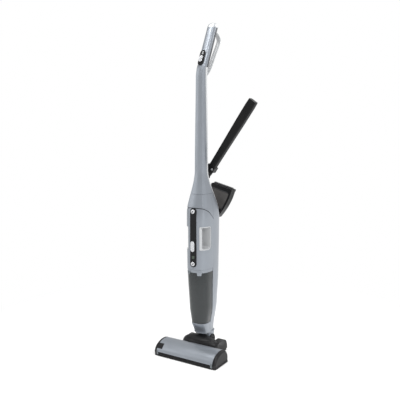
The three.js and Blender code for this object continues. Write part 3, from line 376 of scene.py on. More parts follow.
# ------------------------------------------------------------------ finishes
class Finish:
    """A node tree for one surface finish, built a layer at a time."""

    def __init__(self, name, colour, roughness, metallic, sockets):
        self.material = bpy.data.materials.new(name)
        self.material.use_nodes = True
        self.tree = self.material.node_tree
        self.shader = self.tree.nodes["Principled BSDF"]
        self.place = self.tree.nodes.new("ShaderNodeTexCoord").outputs["Object"]
        self.colour = None
        self.base = (*colour, 1.0)
        self.shader.inputs["Base Color"].default_value = self.base
        self.shader.inputs["Roughness"].default_value = roughness
        self.shader.inputs["Metallic"].default_value = metallic
        self.roughness = roughness
        for socket, value in sockets.items():
            self.shader.inputs[socket].default_value = value
        self.bump = None

    def noise(self, scale, detail=2.0, stretch=None):
        node = self.tree.nodes.new("ShaderNodeTexNoise")
        node.inputs["Scale"].default_value = scale
        node.inputs["Detail"].default_value = detail
        source = self.place
        if stretch:
            mapping = self.tree.nodes.new("ShaderNodeMapping")
            mapping.inputs["Scale"].default_value = stretch
            self.tree.links.new(source, mapping.inputs["Vector"])
            source = mapping.outputs["Vector"]
        self.tree.links.new(source, node.inputs["Vector"])
        return node.outputs["Fac"]

    def spread(self, value, low, high, from_low=0.3, from_high=0.7):
        node = self.tree.nodes.new("ShaderNodeMapRange")
        node.inputs["From Min"].default_value = from_low
        node.inputs["From Max"].default_value = from_high
        node.inputs["To Min"].default_value = low
        node.inputs["To Max"].default_value = high
        self.tree.links.new(value, node.inputs["Value"])
        return node.outputs["Result"]

    def tint(self, other, share):
        """Mixes towards another colour where share is high."""
        node = self.tree.nodes.new("ShaderNodeMix")
        node.data_type = "RGBA"
        if self.colour is None:
            node.inputs[6].default_value = self.base
        else:
            self.tree.links.new(self.colour, node.inputs[6])
        node.inputs[7].default_value = (*other, 1.0)
        self.tree.links.new(share, node.inputs[0])
        self.colour = node.outputs[2]
        self.tree.links.new(self.colour, self.shader.inputs["Base Color"])
        return self

    def cloud(self, amount, scale):
        """Slow, faint variation of the colour over the part."""
        other = [max(c * (1 - 2.2 * amount), 0) for c in self.base[:3]]
        return self.tint(other, self.spread(self.noise(scale, 4.0), 0.0, 1.0, 0.35, 0.75))

    def smudges(self, amount, scale=22.0):
        low, high = self.roughness - amount, self.roughness + amount
        rough = self.spread(self.noise(scale, 5.0), low, high)
        self.tree.links.new(rough, self.shader.inputs["Roughness"])
        return self

    def worn(self, colour, amount):
        """Edges rubbed to another colour, or to a number of times this one."""
        if isinstance(colour, float):
            colour = [min(c * colour, 1) for c in self.base[:3]]
        geometry = self.tree.nodes.new("ShaderNodeNewGeometry")
        edge = self.spread(geometry.outputs["Pointiness"], 0.0, amount, 0.53, 0.62)
        return self.tint(colour, edge)

    def relief(self, height, distance, strength):
        node = self.tree.nodes.new("ShaderNodeBump")
        node.inputs["Strength"].default_value = strength
        node.inputs["Distance"].default_value = distance
        self.tree.links.new(height, node.inputs["Height"])
        if self.bump is not None:
            self.tree.links.new(self.bump, node.inputs["Normal"])
        self.bump = node.outputs["Normal"]
        self.tree.links.new(self.bump, self.shader.inputs["Normal"])
        return self

    def fade_out(self, near, far):
        """Fades to an even white glow away from the middle, so that no horizon shows."""
        reach = self.tree.nodes.new("ShaderNodeVectorMath")
        reach.operation = "LENGTH"
        self.tree.links.new(self.place, reach.inputs[0])
        glow = self.tree.nodes.new("ShaderNodeEmission")
        glow.inputs["Color"].default_value = (1.0, 1.0, 1.0, 1.0)
        both = self.tree.nodes.new("ShaderNodeMixShader")
        self.tree.links.new(self.spread(reach.outputs["Value"], 0.0, 1.0, near, far),
                            both.inputs[0])
        self.tree.links.new(self.shader.outputs[0], both.inputs[1])
        self.tree.links.new(glow.outputs[0], both.inputs[2])
        out = self.tree.nodes["Material Output"]
        self.tree.links.new(both.outputs[0], out.inputs["Surface"])
        return self

    def grain(self, scale, distance, strength, stretch=None):
        return self.relief(self.noise(scale, 2.0, stretch), distance, strength)

    def tracks(self, scale, distance, strength):
        node = self.tree.nodes.new("ShaderNodeTexWave")
        node.wave_type, node.bands_direction, node.wave_profile = "BANDS", "Z", "SIN"
        node.inputs["Scale"].default_value = scale
        self.tree.links.new(self.place, node.inputs["Vector"])
        return self.relief(node.outputs["Fac"], distance, strength)

    def perforated(self):
        """Small round holes, close together."""
        holes = self.tree.nodes.new("ShaderNodeTexVoronoi")
        holes.inputs["Scale"].default_value = 420.0
        holes.inputs["Randomness"].default_value = 0.12
        self.tree.links.new(self.place, holes.inputs["Vector"])
        self.tint((0.02, 0.02, 0.022), self.spread(holes.outputs["Distance"], 1.0, 0.0, 0.22, 0.3))
        return self.relief(holes.outputs["Distance"], 0.0004, 0.5)


# Each finish: a colour, or a paint's name and how much of it; roughness; metallic; further sockets;
# and its layers in order.
RECIPES = {
    "silver_paint": (("silver", 1.0), 0.32, 0.55,
                     {"Specular IOR Level": 0.4, "Coat Weight": 0.15, "Coat Roughness": 0.15},
                     [("cloud", 0.03, 9.0), ("smudges", 0.04), ("worn", 1.25, 0.3),
                      ("grain", 2600.0, 0.00004, 0.12), ("grain", 60.0, 0.0002, 0.05)]),
    "pale_plastic": (("pale", 1.0), 0.42, 0.0, {},
                     [("cloud", 0.03, 12.0), ("smudges", 0.06), ("grain", 1500.0, 0.00006, 0.15)]),
    "pale_loop": (("loop", 1.0), 0.3, 0.0,
                  {"Subsurface Weight": 0.1, "Subsurface Radius": (0.01, 0.01, 0.01),
                   "Coat Weight": 0.2},
                  [("cloud", 0.02, 12.0), ("smudges", 0.05), ("grain", 900.0, 0.00006, 0.1)]),
    "black_plastic": (("black", 1.0), 0.42, 0.0, {"Specular IOR Level": 0.25},
                      [("cloud", 0.12, 20.0), ("smudges", 0.07), ("worn", (0.09, 0.09, 0.095), 0.5),
                       ("grain", 1400.0, 0.00012, 0.35)]),
    "soft_black": (("black", 0.8), 0.62, 0.0, {"Specular IOR Level": 0.2},
                   [("cloud", 0.12, 30.0), ("smudges", 0.08), ("grain", 900.0, 0.0002, 0.4)]),
    "grip_rubber": (("grip", 1.0), 0.55, 0.0, {},
                    [("cloud", 0.1, 30.0), ("smudges", 0.08), ("grain", 1100.0, 0.00016, 0.4)]),
    "gloss_black": ((0.008, 0.008, 0.009), 0.24, 0.0,
                    {"Specular IOR Level": 0.2, "Coat Weight": 0.06, "Coat Roughness": 0.1},
                    [("cloud", 0.1, 40.0), ("smudges", 0.05), ("grain", 300.0, 0.00003, 0.08)]),
    "tool_black": (("tool", 1.0), 0.4, 0.0, {"Specular IOR Level": 0.2},
                   [("cloud", 0.1, 18.0), ("smudges", 0.08), ("worn", (0.11, 0.11, 0.115), 0.5),
                    ("grain", 1200.0, 0.00014, 0.35)]),
    "satin_metal": ((0.72, 0.73, 0.75), 0.24, 0.95, {},
                    [("cloud", 0.04, 30.0), ("smudges", 0.06),
                     ("grain", 700.0, 0.00005, 0.2, (1, 1, 12))]),
    "pale_metal": ((0.62, 0.64, 0.66), 0.28, 0.5, {"Coat Weight": 0.2},
                   [("cloud", 0.03, 30.0), ("smudges", 0.05), ("grain", 900.0, 0.00004, 0.12)]),
    "smoked_cup": (("smoke", 1.0), 0.06, 0.0,
                   {"Transmission Weight": 0.75, "IOR": 1.45, "Coat Weight": 0.4,
                    "Coat Roughness": 0.04},
                   [("cloud", 0.05, 30.0), ("smudges", 0.03, 40.0), ("grain", 40.0, 0.0002, 0.05)]),
    "clear_tab": ((0.22, 0.25, 0.27), 0.16, 0.0, {"Transmission Weight": 0.4, "IOR": 1.45},
                  [("cloud", 0.05, 60.0), ("smudges", 0.04), ("grain", 200.0, 0.00005, 0.1)]),
    "dark_plastic": ((0.055, 0.058, 0.063), 0.45, 0.0, {},
                     [("cloud", 0.1, 30.0), ("smudges", 0.07), ("grain", 1200.0, 0.0001, 0.3)]),
    "wheel_rubber": ((0.03, 0.03, 0.032), 0.6, 0.0, {},
                     [("cloud", 0.1, 60.0), ("smudges", 0.08), ("grain", 800.0, 0.0002, 0.4)]),
    "nylon": ((0.03, 0.03, 0.034), 0.5, 0.0, {"Sheen Weight": 0.4},
              [("cloud", 0.3, 300.0), ("smudges", 0.1), ("grain", 1500.0, 0.0006, 0.8)]),
    "filter_felt": ((0.33, 0.35, 0.37), 0.85, 0.0, {"Sheen Weight": 0.3},
                    [("cloud", 0.2, 80.0), ("smudges", 0.05), ("grain", 700.0, 0.0006, 0.6)]),
    "steel_mesh": ((0.46, 0.48, 0.50), 0.32, 0.9, {}, [("perforated",), ("smudges", 0.06)]),
    "copper_contact": ((0.70, 0.42, 0.24), 0.3, 0.9, {},
                       [("cloud", 0.15, 60.0), ("smudges", 0.08), ("grain", 900.0, 0.00006, 0.2)]),
    "board": ((0.02, 0.12, 0.06), 0.5, 0.0, {},
              [("cloud", 0.4, 260.0), ("smudges", 0.06), ("tracks", 60.0, 0.0002, 0.3)]),
    "soft_grey": ((0.07, 0.066, 0.064), 0.5, 0.0, {},
                  [("cloud", 0.15, 40.0), ("smudges", 0.08), ("grain", 1100.0, 0.00012, 0.35)]),
    "status_lamp": ((0.05, 0.075, 0.05), 0.3, 0.0, {"Coat Weight": 0.2},
                    [("cloud", 0.2, 200.0), ("smudges", 0.04), ("grain", 300.0, 0.00005, 0.1)]),
    "pale_mark": ((0.70, 0.72, 0.73), 0.4, 0.0, {},
                  [("cloud", 0.05, 90.0), ("smudges", 0.05), ("grain", 900.0, 0.00003, 0.1)]),
    "floor_white": (("floor", 1.0), 0.6, 0.0, {},
                    [("cloud", 0.004, 2.0), ("smudges", 0.03, 3.0), ("grain", 300.0, 0.0002, 0.05),
                     ("fade_out", 0.35, 1.0)]),
}
FINISHES = {}


def finish(name):
    """The material of a finish, made once."""
    if name not in FINISHES:
        colour, roughness, metallic, sockets, layers = RECIPES[name]
        if isinstance(colour[0], str):
            paint, share = colour
            colour = [c * share for c in getattr(bpy.context.scene.vacuum_finishes, paint)]
        made = Finish(name, colour, roughness, metallic, sockets)
        for layer, *settings in layers:
            getattr(made, layer)(*settings)
        FINISHES[name] = made.material
    return FINISHES[name]


# ------------------------------------------------------------------ stick
def rear_cover_room(grow):
    """Room of the pale cover, whose front edge keeps one depth from the back of the stick."""
    foot = REAR_COVER_FOOT_Z - grow
    edge = [(rear_y(z) - REAR_COVER_DEPTH - grow, z) for z in heights(foot, BEND_Z - BEND_BLEND,
                                                                      6.0)]
    outline = edge + [(STICK_Y - grow, GRIP_FOOT_Z + 10), (FAR, GRIP_FOOT_Z + 10), (FAR, foot)]
    return prism(outline, "x", -60.0, 60.0)


def build_covers():
    inner = column(CANOPY_TOP_Z - 2, GRIP_FOOT_Z + 2, WALL, 8.0)
    front = cut(column(CANOPY_TOP_Z + 0.6, GRIP_FOOT_Z), inner, rear_cover_room(1.3))
    fit(front, "front_cover", "stick", "silver_paint", ["stick_front_cover"], 0.5)
    inner = column(REAR_COVER_FOOT_Z - 2, GRIP_FOOT_Z + 2, WALL, 8.0)
    rear = keep(cut(column(REAR_COVER_FOOT_Z, GRIP_FOOT_Z), inner), rear_cover_room(0.0))
    fit(rear, "rear_cover", "stick", "pale_plastic", ["stick_rear_cover"], 0.5)


def grip_half(z0, z1, side):
    seam = [(centre_y(z) + side * 0.2, z) for z in heights(z0 - 2, z1 + 2, 8.0)]
    outline = seam + [(side * FAR, z1 + 2), (side * FAR, z0 - 2)]
    hollow = column(z0 - 2, z1 + 2, WALL, 8.0)
    return keep(cut(column(z0, z1, 0.0, 4.0), hollow), prism(outline, "x", -60.0, 60.0))


def on_grip(work, height, out):
    """Lays a part drawn upright at the origin, facing -Y, on the leaning front of the grip."""
    face = Vector((0, front_y(height) - out * math.cos(GRIP_LEAN),
                   height + out * math.sin(GRIP_LEAN)))
    return moved(work, Matrix.Translation(face) @ Matrix.Rotation(-GRIP_LEAN, 4, "X"))


def build_grip():
    z0, z1 = GRIP_FOOT_Z + 0.4, TOP_Z - GRIP_CAP_HEIGHT
    fit(grip_half(z0, z1, -1), "grip_front_half", "stick", "silver_paint", ["grip_front"])
    fit(grip_half(z0, z1, 1), "grip_rear_half", "stick", "grip_rubber", ["grip_rear"])
    rings = [ring(z1 + GAP, 0.0, 96)]
    for n in range(1, 13):
        angle = math.radians(90.0 * n / 12)
        z = z1 + 5.0 + (GRIP_CAP_HEIGHT - 5.0) * math.sin(angle)
        rings.append(ring(z, 11.0 * (1 - math.cos(angle)), 96))
    fit(loft(rings), "grip_end_cap", "stick", "pale_metal", ["grip_cap"], 0.4)

    middle, half = 1016.0, 28.0
    plate = prism(rounded(-10, 10, -half, half, 9.6), "y", -2.6, 4.0)
    window = prism(rounded(-8.0, 8.0, -half + 2.2, half - 2.2, 7.8), "y", -4.0, -2.0)
    fit(cut(on_grip(plate, middle, 0.4), on_grip(window, middle, 0.4),
            column(960, 1080, -GAP, 6.0)),
        "grip_switch_plate", "stick", "gloss_black", ["grip_slider_plate"], 0.3)
    key = prism(rounded(-6.5, 6.5, -18.0, 6.0, 6.2), "y", -4.0, 0.0)
    ridges = [rod("x", 0.8, -4.5, 4.5, (-4.0, z), 20) for z in (-11.0, -8.5, -6.0, -3.5, -1.0)]
    fit(on_grip(fuse(key, *ridges), middle, 3.0), "grip_switch_key", "grip_switch",
        "satin_metal", ["grip_slider"], 0.5)
    marks = fuse(prism(rounded(-3.2, 3.2, 13.0, 14.6, 0.7), "y", -0.4, 0.5),
                 prism(circle(1.8, (0, 18.0), 32), "y", -0.4, 0.5),
                 prism(rounded(-3.2, 3.2, 21.2, 22.8, 0.7), "y", -0.4, 0.5))
    fit(on_grip(marks, middle, 2.3), "grip_switch_marks", "stick", "pale_mark", (), 0.1)


def build_loop():
    z0, z1, reach = 956.0, TOP_Z - GRIP_CAP_HEIGHT - 14.0, 52.0
    start, end = rear_y(z0), rear_y(z1)
    stops = [(start - 4, z0 - 2), (start, z0), (start + reach * 0.55, z0 + 26),
             (start + reach * 1.25, z0 + 82),
             (end + reach * 0.55, z1 - 26), (end + reach * 0.35, z1 - 6), (end, z1),
             (end - 5, z1 + 1)]
    stops = [Vector((0, y, z)) for y, z in stops]
    path = []
    for n in range(1, len(stops) - 2):
        a, b, c, d = stops[n - 1:n + 3]
        for k in range(14):
            t = k / 14
            path.append(0.5 * (2 * b + (c - a) * t + (2 * a - 5 * b + 4 * c - d) * t * t
                               + (3 * b - a - 3 * c + d) * t ** 3))
    path.append(stops[-2])
    rings = []
    for n, point in enumerate(path):
        ahead, back = path[min(n + 1, len(path) - 1)], path[max(n - 1, 0)]
        along = (ahead - back).normalized()
        out = along.cross(Vector((1, 0, 0))).normalized()
        end_share = max(0.0, 1 - min(n, len(path) - 1 - n) / 7)
        wide, thick = 8.0, 3.0 + 1.4 * end_share ** 2
        rings.append([point + Vector((1, 0, 0)) * wide * squared(math.cos(a), 2.6)
                      + out * thick * squared(math.sin(a), 2.6)
                      for a in [2 * math.pi * i / 40 for i in range(40)]])
    loop = cut(loft(rings), column(930, 1139, -0.3, 6.0))
    fit(loop, "hand_loop_bar", "stick", "pale_loop", ["hand_loop"], 0.0)


# ------------------------------------------------------------------ dock
def arch_room(raise_by):
    """Room under the arched seam over the hand unit."""
    rear = TONGUE_REAR_Y + raise_by
    front = STICK_Y - 63.0
    p = [Vector((rear, ARCH_REAR_Z - 12 + raise_by)), Vector((SEAM_Y, ARCH_REAR_Z + 14 + raise_by)),
         Vector((STICK_Y - 21.2, ARCH_FRONT_Z + raise_by)),
         Vector((front, ARCH_FRONT_Z + raise_by))]
    return prism([(front, 0.0), (rear, 0.0)] + [tuple(c) for c in cubic(p, 40)], "x", -60.0, 60.0)


def strip_room(grow):
    return prism(rounded(-STRIP_HALF_WIDTH - grow, STRIP_HALF_WIDTH + grow, STRIP_BOTTOM_Z - grow,
                         STRIP_TOP_Z + grow, STRIP_HALF_WIDTH + grow - 0.01), "y", -200.0,
                 STRIP_FACE_Y + 5.0 + grow)


def socket_room():
    return turned([(11.0, 0.0), (11.0, 103.0), (14.5, 103.0), (16.0, CUP_BOTTOM_Z)], "z",
                  (0, NOSE_Y))


def ahead_of(y, z0=0.0, z1=FAR):
    return slab(-FAR, FAR, -FAR, y, z0, z1)


def build_dock():
    canopy = keep(column(ARCH_REAR_Z - 20, CANOPY_TOP_Z, 0.0, 3.0), ahead_of(SEAM_Y - 0.6))
    canopy = cut(canopy, arch_room(2.4), strip_room(1.5), column(525, CANOPY_TOP_Z + 4, 6.0, 8.0))
    fit(canopy, "dock_canopy_shell", "stick", "silver_paint", ["dock_canopy"], 0.7)

    # A dark band set back in the arched seam over the hand unit: painted shade, standing in for the
    # shadow in the gap between the canopy and the hand unit.
    seam_shade = keep(column(ARCH_REAR_Z - 30, ARCH_FRONT_Z + 4, 2.2, 3.0), ahead_of(SEAM_Y - 0.6),
                arch_room(2.0))
    seam_shade = cut(seam_shade, arch_room(0.4), column(ARCH_REAR_Z - 40, ARCH_FRONT_Z + 10, 5.0, 6.0),
               strip_room(2.0))
    fit(seam_shade, "dock_seal", "stick", "soft_black", (), 0.0)

    housing = keep(column(DOCK_FLOOR_Z, CANOPY_TOP_Z, 0.0, 4.0),
                   slab(-FAR, FAR, SEAM_Y, FAR, 0, FAR))
    housing = cut(housing, column(DOCK_FLOOR_Z + WALL, CANOPY_TOP_Z + 2, WALL, 8.0),
                  rear_cover_room(GAP), socket_room())
    fit(housing, "housing_shell", "stick", "silver_paint", ["rear_housing"], 0.7)

    foot = cut(column(FOOT_BOTTOM_Z, CUP_BOTTOM_Z - 1.2, 0.0, 2.0), socket_room(),
               slab(-FAR, FAR, SEAM_Y - GAP, FAR, DOCK_FLOOR_Z - GAP, FAR))
    fit(foot, "dock_foot_block", "stick", "silver_paint", ["dock_foot"], 0.7)


# ------------------------------------------------------------------ hand unit
def unit_body(z0, z1, inset, step=4.0):
    front = keep(column(z0, z1, inset, step), ahead_of(SEAM_Y - GAP - inset))
    tongue = keep(slab(-TONGUE_HALF_WIDTH + inset, TONGUE_HALF_WIDTH - inset, SEAM_Y - 12,
                       TONGUE_REAR_Y - inset, z0, min(z1, ARCH_REAR_Z)),
                  column(z0 - 1, z1 + 1, 3.6 + inset, 8.0))
    return fuse(front, tongue)


def finger_room(grow):
    """The opening behind the handle bar, which comes forward on each side of it."""
    hole = prism(rounded(FINGER_FRONT_Y - grow, FINGER_REAR_Y + grow, FINGER_BOTTOM_Z - grow,
                         FINGER_TOP_Z + grow, 9 + grow), "x", -90.0, 90.0)
    inner = HANDLE_HALF_WIDTH - grow
    for side in (-1, 1):
        x = sorted((side * inner, side * 90.0))
        hole = fuse(hole, prism(rounded(x[0], x[1], FINGER_BOTTOM_Z - grow, FINGER_TOP_Z + grow,
                                        3.0),
                                "y", -200.0, FINGER_FRONT_Y + 12.0))
    return hole


def build_unit_shells():
    for name, side in (("left", -1), ("right", 1)):
        body = keep(unit_body(SHELL_BOTTOM_Z, ARCH_FRONT_Z + 2, 0.0), arch_room(0.0))
        body = cut(body, finger_room(2.8), strip_room(GAP),
                   column(SHELL_BOTTOM_Z - 2, FINGER_BOTTOM_Z - 5, 2.4, 8.0),
                   slab(-26, 26, STICK_Y - 5, TONGUE_REAR_Y - 2.4, FINGER_BOTTOM_Z - 12,
                        ARCH_REAR_Z - 22),
                   slab(-10, 10, STRIP_FACE_Y + 5, STRIP_FACE_Y + 13, STRIP_BOTTOM_Z + 8,
                        FINGER_TOP_Z + 22))
        half = slab(*sorted((side * 0.2, side * FAR)), -FAR, FAR, 0, FAR)
        fit(keep(body, half), f"unit_shell_{name}_half", "hand_unit", "silver_paint",
            [f"unit_shell_{name}"], 0.7)
    liner = keep(cut(finger_room(2.4), finger_room(0.0)), column(352, 476, 0.5, 4.0))
    fit(liner, "finger_recess", "hand_unit", "pale_plastic", ["finger_liner"], 0.5)


def build_controls():
    back = STRIP_FACE_Y + 5.0
    strip = prism(rounded(-STRIP_HALF_WIDTH, STRIP_HALF_WIDTH, STRIP_BOTTOM_Z, STRIP_TOP_Z,
                          STRIP_HALF_WIDTH - 0.01, 20), "y", STRIP_FACE_Y, back)
    groove = prism(rounded(-9.6, 9.6, STRIP_BOTTOM_Z + 1.9, STRIP_TOP_Z - 1.9, 9.5, 20), "y",
                   STRIP_FACE_Y - 2, STRIP_FACE_Y + 0.5)
    holes = [rod("y", 7.6, STRIP_FACE_Y - 5, back + 5, (0, z)) for z in (UNIT_KEY_Z, CUP_KEY_Z)]
    lamp_seat = prism(rounded(-5.4, 5.4, 343.6, 354.4, 1.4), "y", STRIP_FACE_Y - 2,
                      STRIP_FACE_Y + 1.4)
    fit(cut(strip, groove, lamp_seat, *holes), "control_strip_plate", "hand_unit", "gloss_black",
        ["control_strip"], 0.4)
    fit(prism(rounded(-5.0, 5.0, 344.0, 354.0, 1.2), "y", STRIP_FACE_Y + 0.1, STRIP_FACE_Y + 1.3),
        "charge_lamp", "hand_unit", "status_lamp", (), 0.2)
    face = STRIP_FACE_Y - 3.4
    for name, z, body, node in (("release_key", UNIT_KEY_Z, "unit_key", "unit_release_button"),
                                ("cup_key_cap", CUP_KEY_Z, "cup_key", "cup_release_button")):
        profile = [(7.2, face + 4.6), (7.2, face + 1.0), (6.5, face + 0.2), (5.6, face),
                   (3.6, face + 0.5),
                   (2.6, face + 1.3), (2.2, face + 1.6)]
        fit(turned(profile[::-1], "y", (0, z)), name, body, "satin_metal", [node], 0.15)
        fit(turned([(1.9, face + 1.1), (2.0, face + 1.5), (2.0, face + 1.62)], "y", (0, z), 40),
            f"{name}_dot", body, "gloss_black", (), 0.0)
    key = prism(rounded(-7.5, 7.5, 369.0, 405.0, 7.4, 20), "y", STRIP_FACE_Y - 4.4,
                STRIP_FACE_Y - 0.4)
    hollow = prism(rounded(-5.0, 5.0, 372.0, 402.0, 4.9, 20), "y", STRIP_FACE_Y - 8,
                   STRIP_FACE_Y - 3.7)
    ridges = [prism(rounded(-4.2, 4.2, z - 0.8, z + 0.8, 0.7, 6), "y", STRIP_FACE_Y - 4.8,
                    STRIP_FACE_Y - 3.0)
              for z in (377.0, 381.0, 385.0, 389.0)]
    dot = prism(circle(2.0, (0, 396.0), 32), "y", STRIP_FACE_Y - 4.7, STRIP_FACE_Y - 3.0)
    fit(fuse(cut(key, hollow), dot, *ridges), "power_slider_key", "power_switch", "satin_metal",
        ["power_slider"], 0.3)


def build_cup():
    ring_body = cut(unit_body(RING_BOTTOM_Z, SHELL_BOTTOM_Z - 0.6, 0.6),
                    rod("z", 27.0, 0, FAR, CUP_AXIS))
    fit(ring_body, "cup_collar", "hand_unit", "silver_paint", ["cup_ring"], 0.5)
    for name, x, wide, low, coat in (("left", -20.0, 7.0, 7.0, "clear_tab"),
                                     ("right", 21.0, 8.0, 9.0, "silver_paint")):
        tab = keep(prism([(x - wide, RING_BOTTOM_Z + 4), (x + wide, RING_BOTTOM_Z + 4),
                          (x + wide * 0.72, RING_BOTTOM_Z - low),
                          (x - wide * 0.72, RING_BOTTOM_Z - low)],
                         "y", -100.0, -60.0), column(270, 310, -1.2, 4.0))
        fit(cut(tab, column(260, 312, 0.7, 4.0)), f"cup_tab_{name}", "hand_unit", coat, (),
            0.4)
    outer = unit_body(CUP_BOTTOM_Z, RING_BOTTOM_Z - GAP, 1.0, 3.0)
    cup = cut(outer, unit_body(CUP_BOTTOM_Z + 2.4, RING_BOTTOM_Z + 2, 3.4, 4.0),
              rod("z", 11.0, CUP_BOTTOM_Z - 5, CUP_BOTTOM_Z + 8, (0, NOSE_Y)))
    fit(cup, "dust_cup_wall", "hand_unit", "smoked_cup", ["dust_cup"], 0.4)
    base = keep(column(CUP_BOTTOM_Z + 2.6, CUP_BOTTOM_Z + 4.4, 3.8, 1.0), ahead_of(SEAM_Y - 5))
    fit(cut(base, rod("z", 13.0, 0, FAR, (0, NOSE_Y))), "cup_floor", "hand_unit", "dark_plastic",
        (), 0.3)

    axis = CUP_AXIS
    pleats = [[((26 - 1.6 * (i % 2)) * math.cos(2 * math.pi * i / 96) + axis[0],
                (26 - 1.6 * (i % 2)) * math.sin(2 * math.pi * i / 96) + axis[1],
                z) for i in range(96)]
              for z in (254.0, 300.0)]
    fit(loft(pleats), "filter_pleats", "hand_unit", "filter_felt", ["filter_cartridge"],
        0.0, 60)
    fit(turned([(18, 252.5), (29, 252.5), (30, 251.6), (30, 249.4), (29, 248.6), (18, 248.6)], "z",
               axis),
        "filter_plate", "hand_unit", "dark_plastic", (), 0.2)
    fit(turned([(19.2, 200.0), (20.0, 200.6), (20.0, 248.2), (18.4, 248.2)], "z", axis),
        "cyclone_screen", "hand_unit", "steel_mesh", ["cyclone_mesh"], 0.2)
    fit(turned([(6.0, 186.0), (23.0, 192.0), (24.5, 197.0), (24.5, 199.6), (19.0, 199.8),
                (6.0, 199.8)], "z", axis),
        "cyclone_skirt", "hand_unit", "dark_plastic", (), 0.2)
    spigot = [(9.0, 104.0), (11.4, 104.0), (12.1, 104.8), (14.0, 111.6), (9.0, 111.6)]
    fit(turned(spigot, "z", (0, NOSE_Y), 72, True), "inlet_spigot", "hand_unit", "silver_paint",
        ["inlet_nose"], 0.3)


# ------------------------------------------------------------------ tools
def build_tools():
    pin_y, pin_z = CREVICE_PIN
    seat = cut(prism(rounded(-13, 13, 612.0, 642.0, 4.0), "y", STICK_Y, pin_y - 11.4),
               column(560, 700, -0.3, 5.0))
    pin = turned([(4, -20.0), (4, pin_y + 12.0), (6.6, pin_y + 12.2), (7.0, pin_y + 13.4),
                  (6.0, pin_y + 15.6),
                  (3.0, pin_y + 16.4)], "y", (0, pin_z), 40)
    fit(fuse(seat, cut(pin, column(560, 700, -0.3, 5.0))), "crevice_holder", "stick", "soft_black",
        ["tool_holder"], 0.4)

    def tube(inset, low, high):
        rings = []
        for z in heights(low, high, 4.0):
            if z < 40:
                share = 0.45 + 0.35 * smooth(z, -22, 40)
            else:
                share = 0.8 + 0.2 * smooth(z, 40, 260)
            end = math.sqrt(max(1 - ((z - 270) / 72) ** 2, 0.0)) if z > 270 else 1.0
            w, d = (15.5 - inset) * share * end, 11 - inset
            rings.append([(x * w / (18 - inset), y, z)
                          for x, y in rounded(-18 + inset, 18 - inset, -d, d, 5 - inset, 6)])
        return loft(rings)

    tool = cut(tube(0.0, -22.0, 298.0), tube(2.0, -26.0, 290.0))
    boss = rod("y", 7.0, -11.0, 11.0, (0, 0), 40)
    tool = cut(fuse(tool, boss), rod("y", 4.4, -40, 40, (0, 0), 40))
    # finger ribs on the wide end
    ribs = [prism(rounded(-9, 9, z - 0.9, z + 0.9, 0.8, 4), "y", -11.7, -10.0) for z in (236, 242,
                                                                                         248, 254,
                                                                                         260)]
    fit(leant(fuse(tool, *ribs), CREVICE_LEAN, *CREVICE_PIN), "crevice_nozzle_body",
        "crevice_nozzle",
        "tool_black", ["crevice_tool"], 0.5)
    clip = cut(prism(rounded(-15.6, 15.6, 12.0, 34.0, 3.0), "y", -11.1, 13.0),
               prism([(-11.5, -12), (11.5, -12), (11.5, 12), (-11.5, 12)], "z", 0.0, 60.0))
    fit(leant(cut(clip, tube(-0.3, -20.0, 60.0)), CREVICE_LEAN, *CREVICE_PIN), "crevice_clip",
        "crevice_nozzle",
        "gloss_black", (), 0.6)
    fit(leant(prism(rounded(4.0, 11.0, 19.0, 27.0, 1.6), "y", -11.6, -10.8), CREVICE_LEAN,
              *CREVICE_PIN),
        "crevice_clip_badge", "crevice_nozzle", "satin_metal", (), 0.2)

    brush_y, brush_z = BRUSH_PIN
    back = rear_y(brush_z)
    holder = fuse(prism(rounded(-10, 10, 472.0, 496.0, 3.0), "y", back - 14, brush_y - 15.4),
                  turned([(4, back - 10), (4, brush_y + 16.0), (6.4, brush_y + 16.2),
                          (6.8, brush_y + 17.2),
                          (5.6, brush_y + 17.9)], "y", (0, brush_z), 40))
    fit(cut(holder, column(430, 530, -0.3, 5.0)), "brush_holder_post", "stick", "soft_black",
        ["brush_holder"], 0.4)

    def fan(inset, depth, top=100.0):
        right = [Vector((12 - inset, -14 + inset)), Vector((42 - inset, 45.0)),
                 Vector((42 - inset, top))]
        curve = quadratic(right, 28)
        outline = [tuple(c) for c in curve] + [(-c[0], c[1]) for c in reversed(curve)]
        return prism(outline, "y", -depth, depth)

    brush = cut(fan(0, 15.0), fan(2.4, 12.6, 112.0))
    brush = cut(fuse(brush, rod("y", 7.0, -15.0, 15.0, (0, 0), 40)),
                rod("y", 4.4, -60, 60, (0, 0), 40))
    # a sunk panel on the face towards -Y, and a raised rim round the mouth
    brush = cut(brush, keep(fan(8.0, 30.0, 84.0), slab(-60, 60, -20, -14.2, 18, 84)))
    rim = cut(prism(rounded(-43.0, 43.0, 91.0, 99.0, 2.0), "y", -16.0, 16.0), fan(2.4, 12.6, 112.0))
    fit(leant(fuse(brush, rim), BRUSH_LEAN, *BRUSH_PIN), "brush_nozzle_body", "upholstery_nozzle",
        "tool_black", ["brush_tool"], 0.5)
    panel = keep(fan(9.0, 14.7, 83.0), slab(-60, 60, -14.7, -13.9, 19, 83))
    fit(leant(panel, BRUSH_LEAN, *BRUSH_PIN), "brush_nozzle_panel", "upholstery_nozzle",
        "soft_grey",
        (), 0.3)
    tufts = None
    for n in range(19):
        x = -36.0 + 4.0 * n
        for y in (-3.2, 3.2):
            tuft = prism([(x - 1.5, 90.0), (x + 1.5, 90.0), (x + 1.8, 105.0 - 0.4 * (n % 3)),
                          (x - 1.8, 105.0)],
                         "y", y - 1.5, y + 1.5)
            tufts = tuft if tufts is None else joined(tufts, tuft)
    tufts = joined(tufts, prism(rounded(-38, 38, 88.0, 92.0, 1.0), "y", -5.0, 5.0))
    fit(leant(tufts, BRUSH_LEAN, *BRUSH_PIN), "brush_tufts", "upholstery_nozzle", "nylon",
        ["brush_tool_bristles"], 0.0)


def joined(work, other):
    shape = bmesh.new()
    shape.from_mesh(work.data)
    shape.from_mesh(other.data)
    shape.to_mesh(work.data)
    shape.free()
    bpy.data.objects.remove(other)
    return work


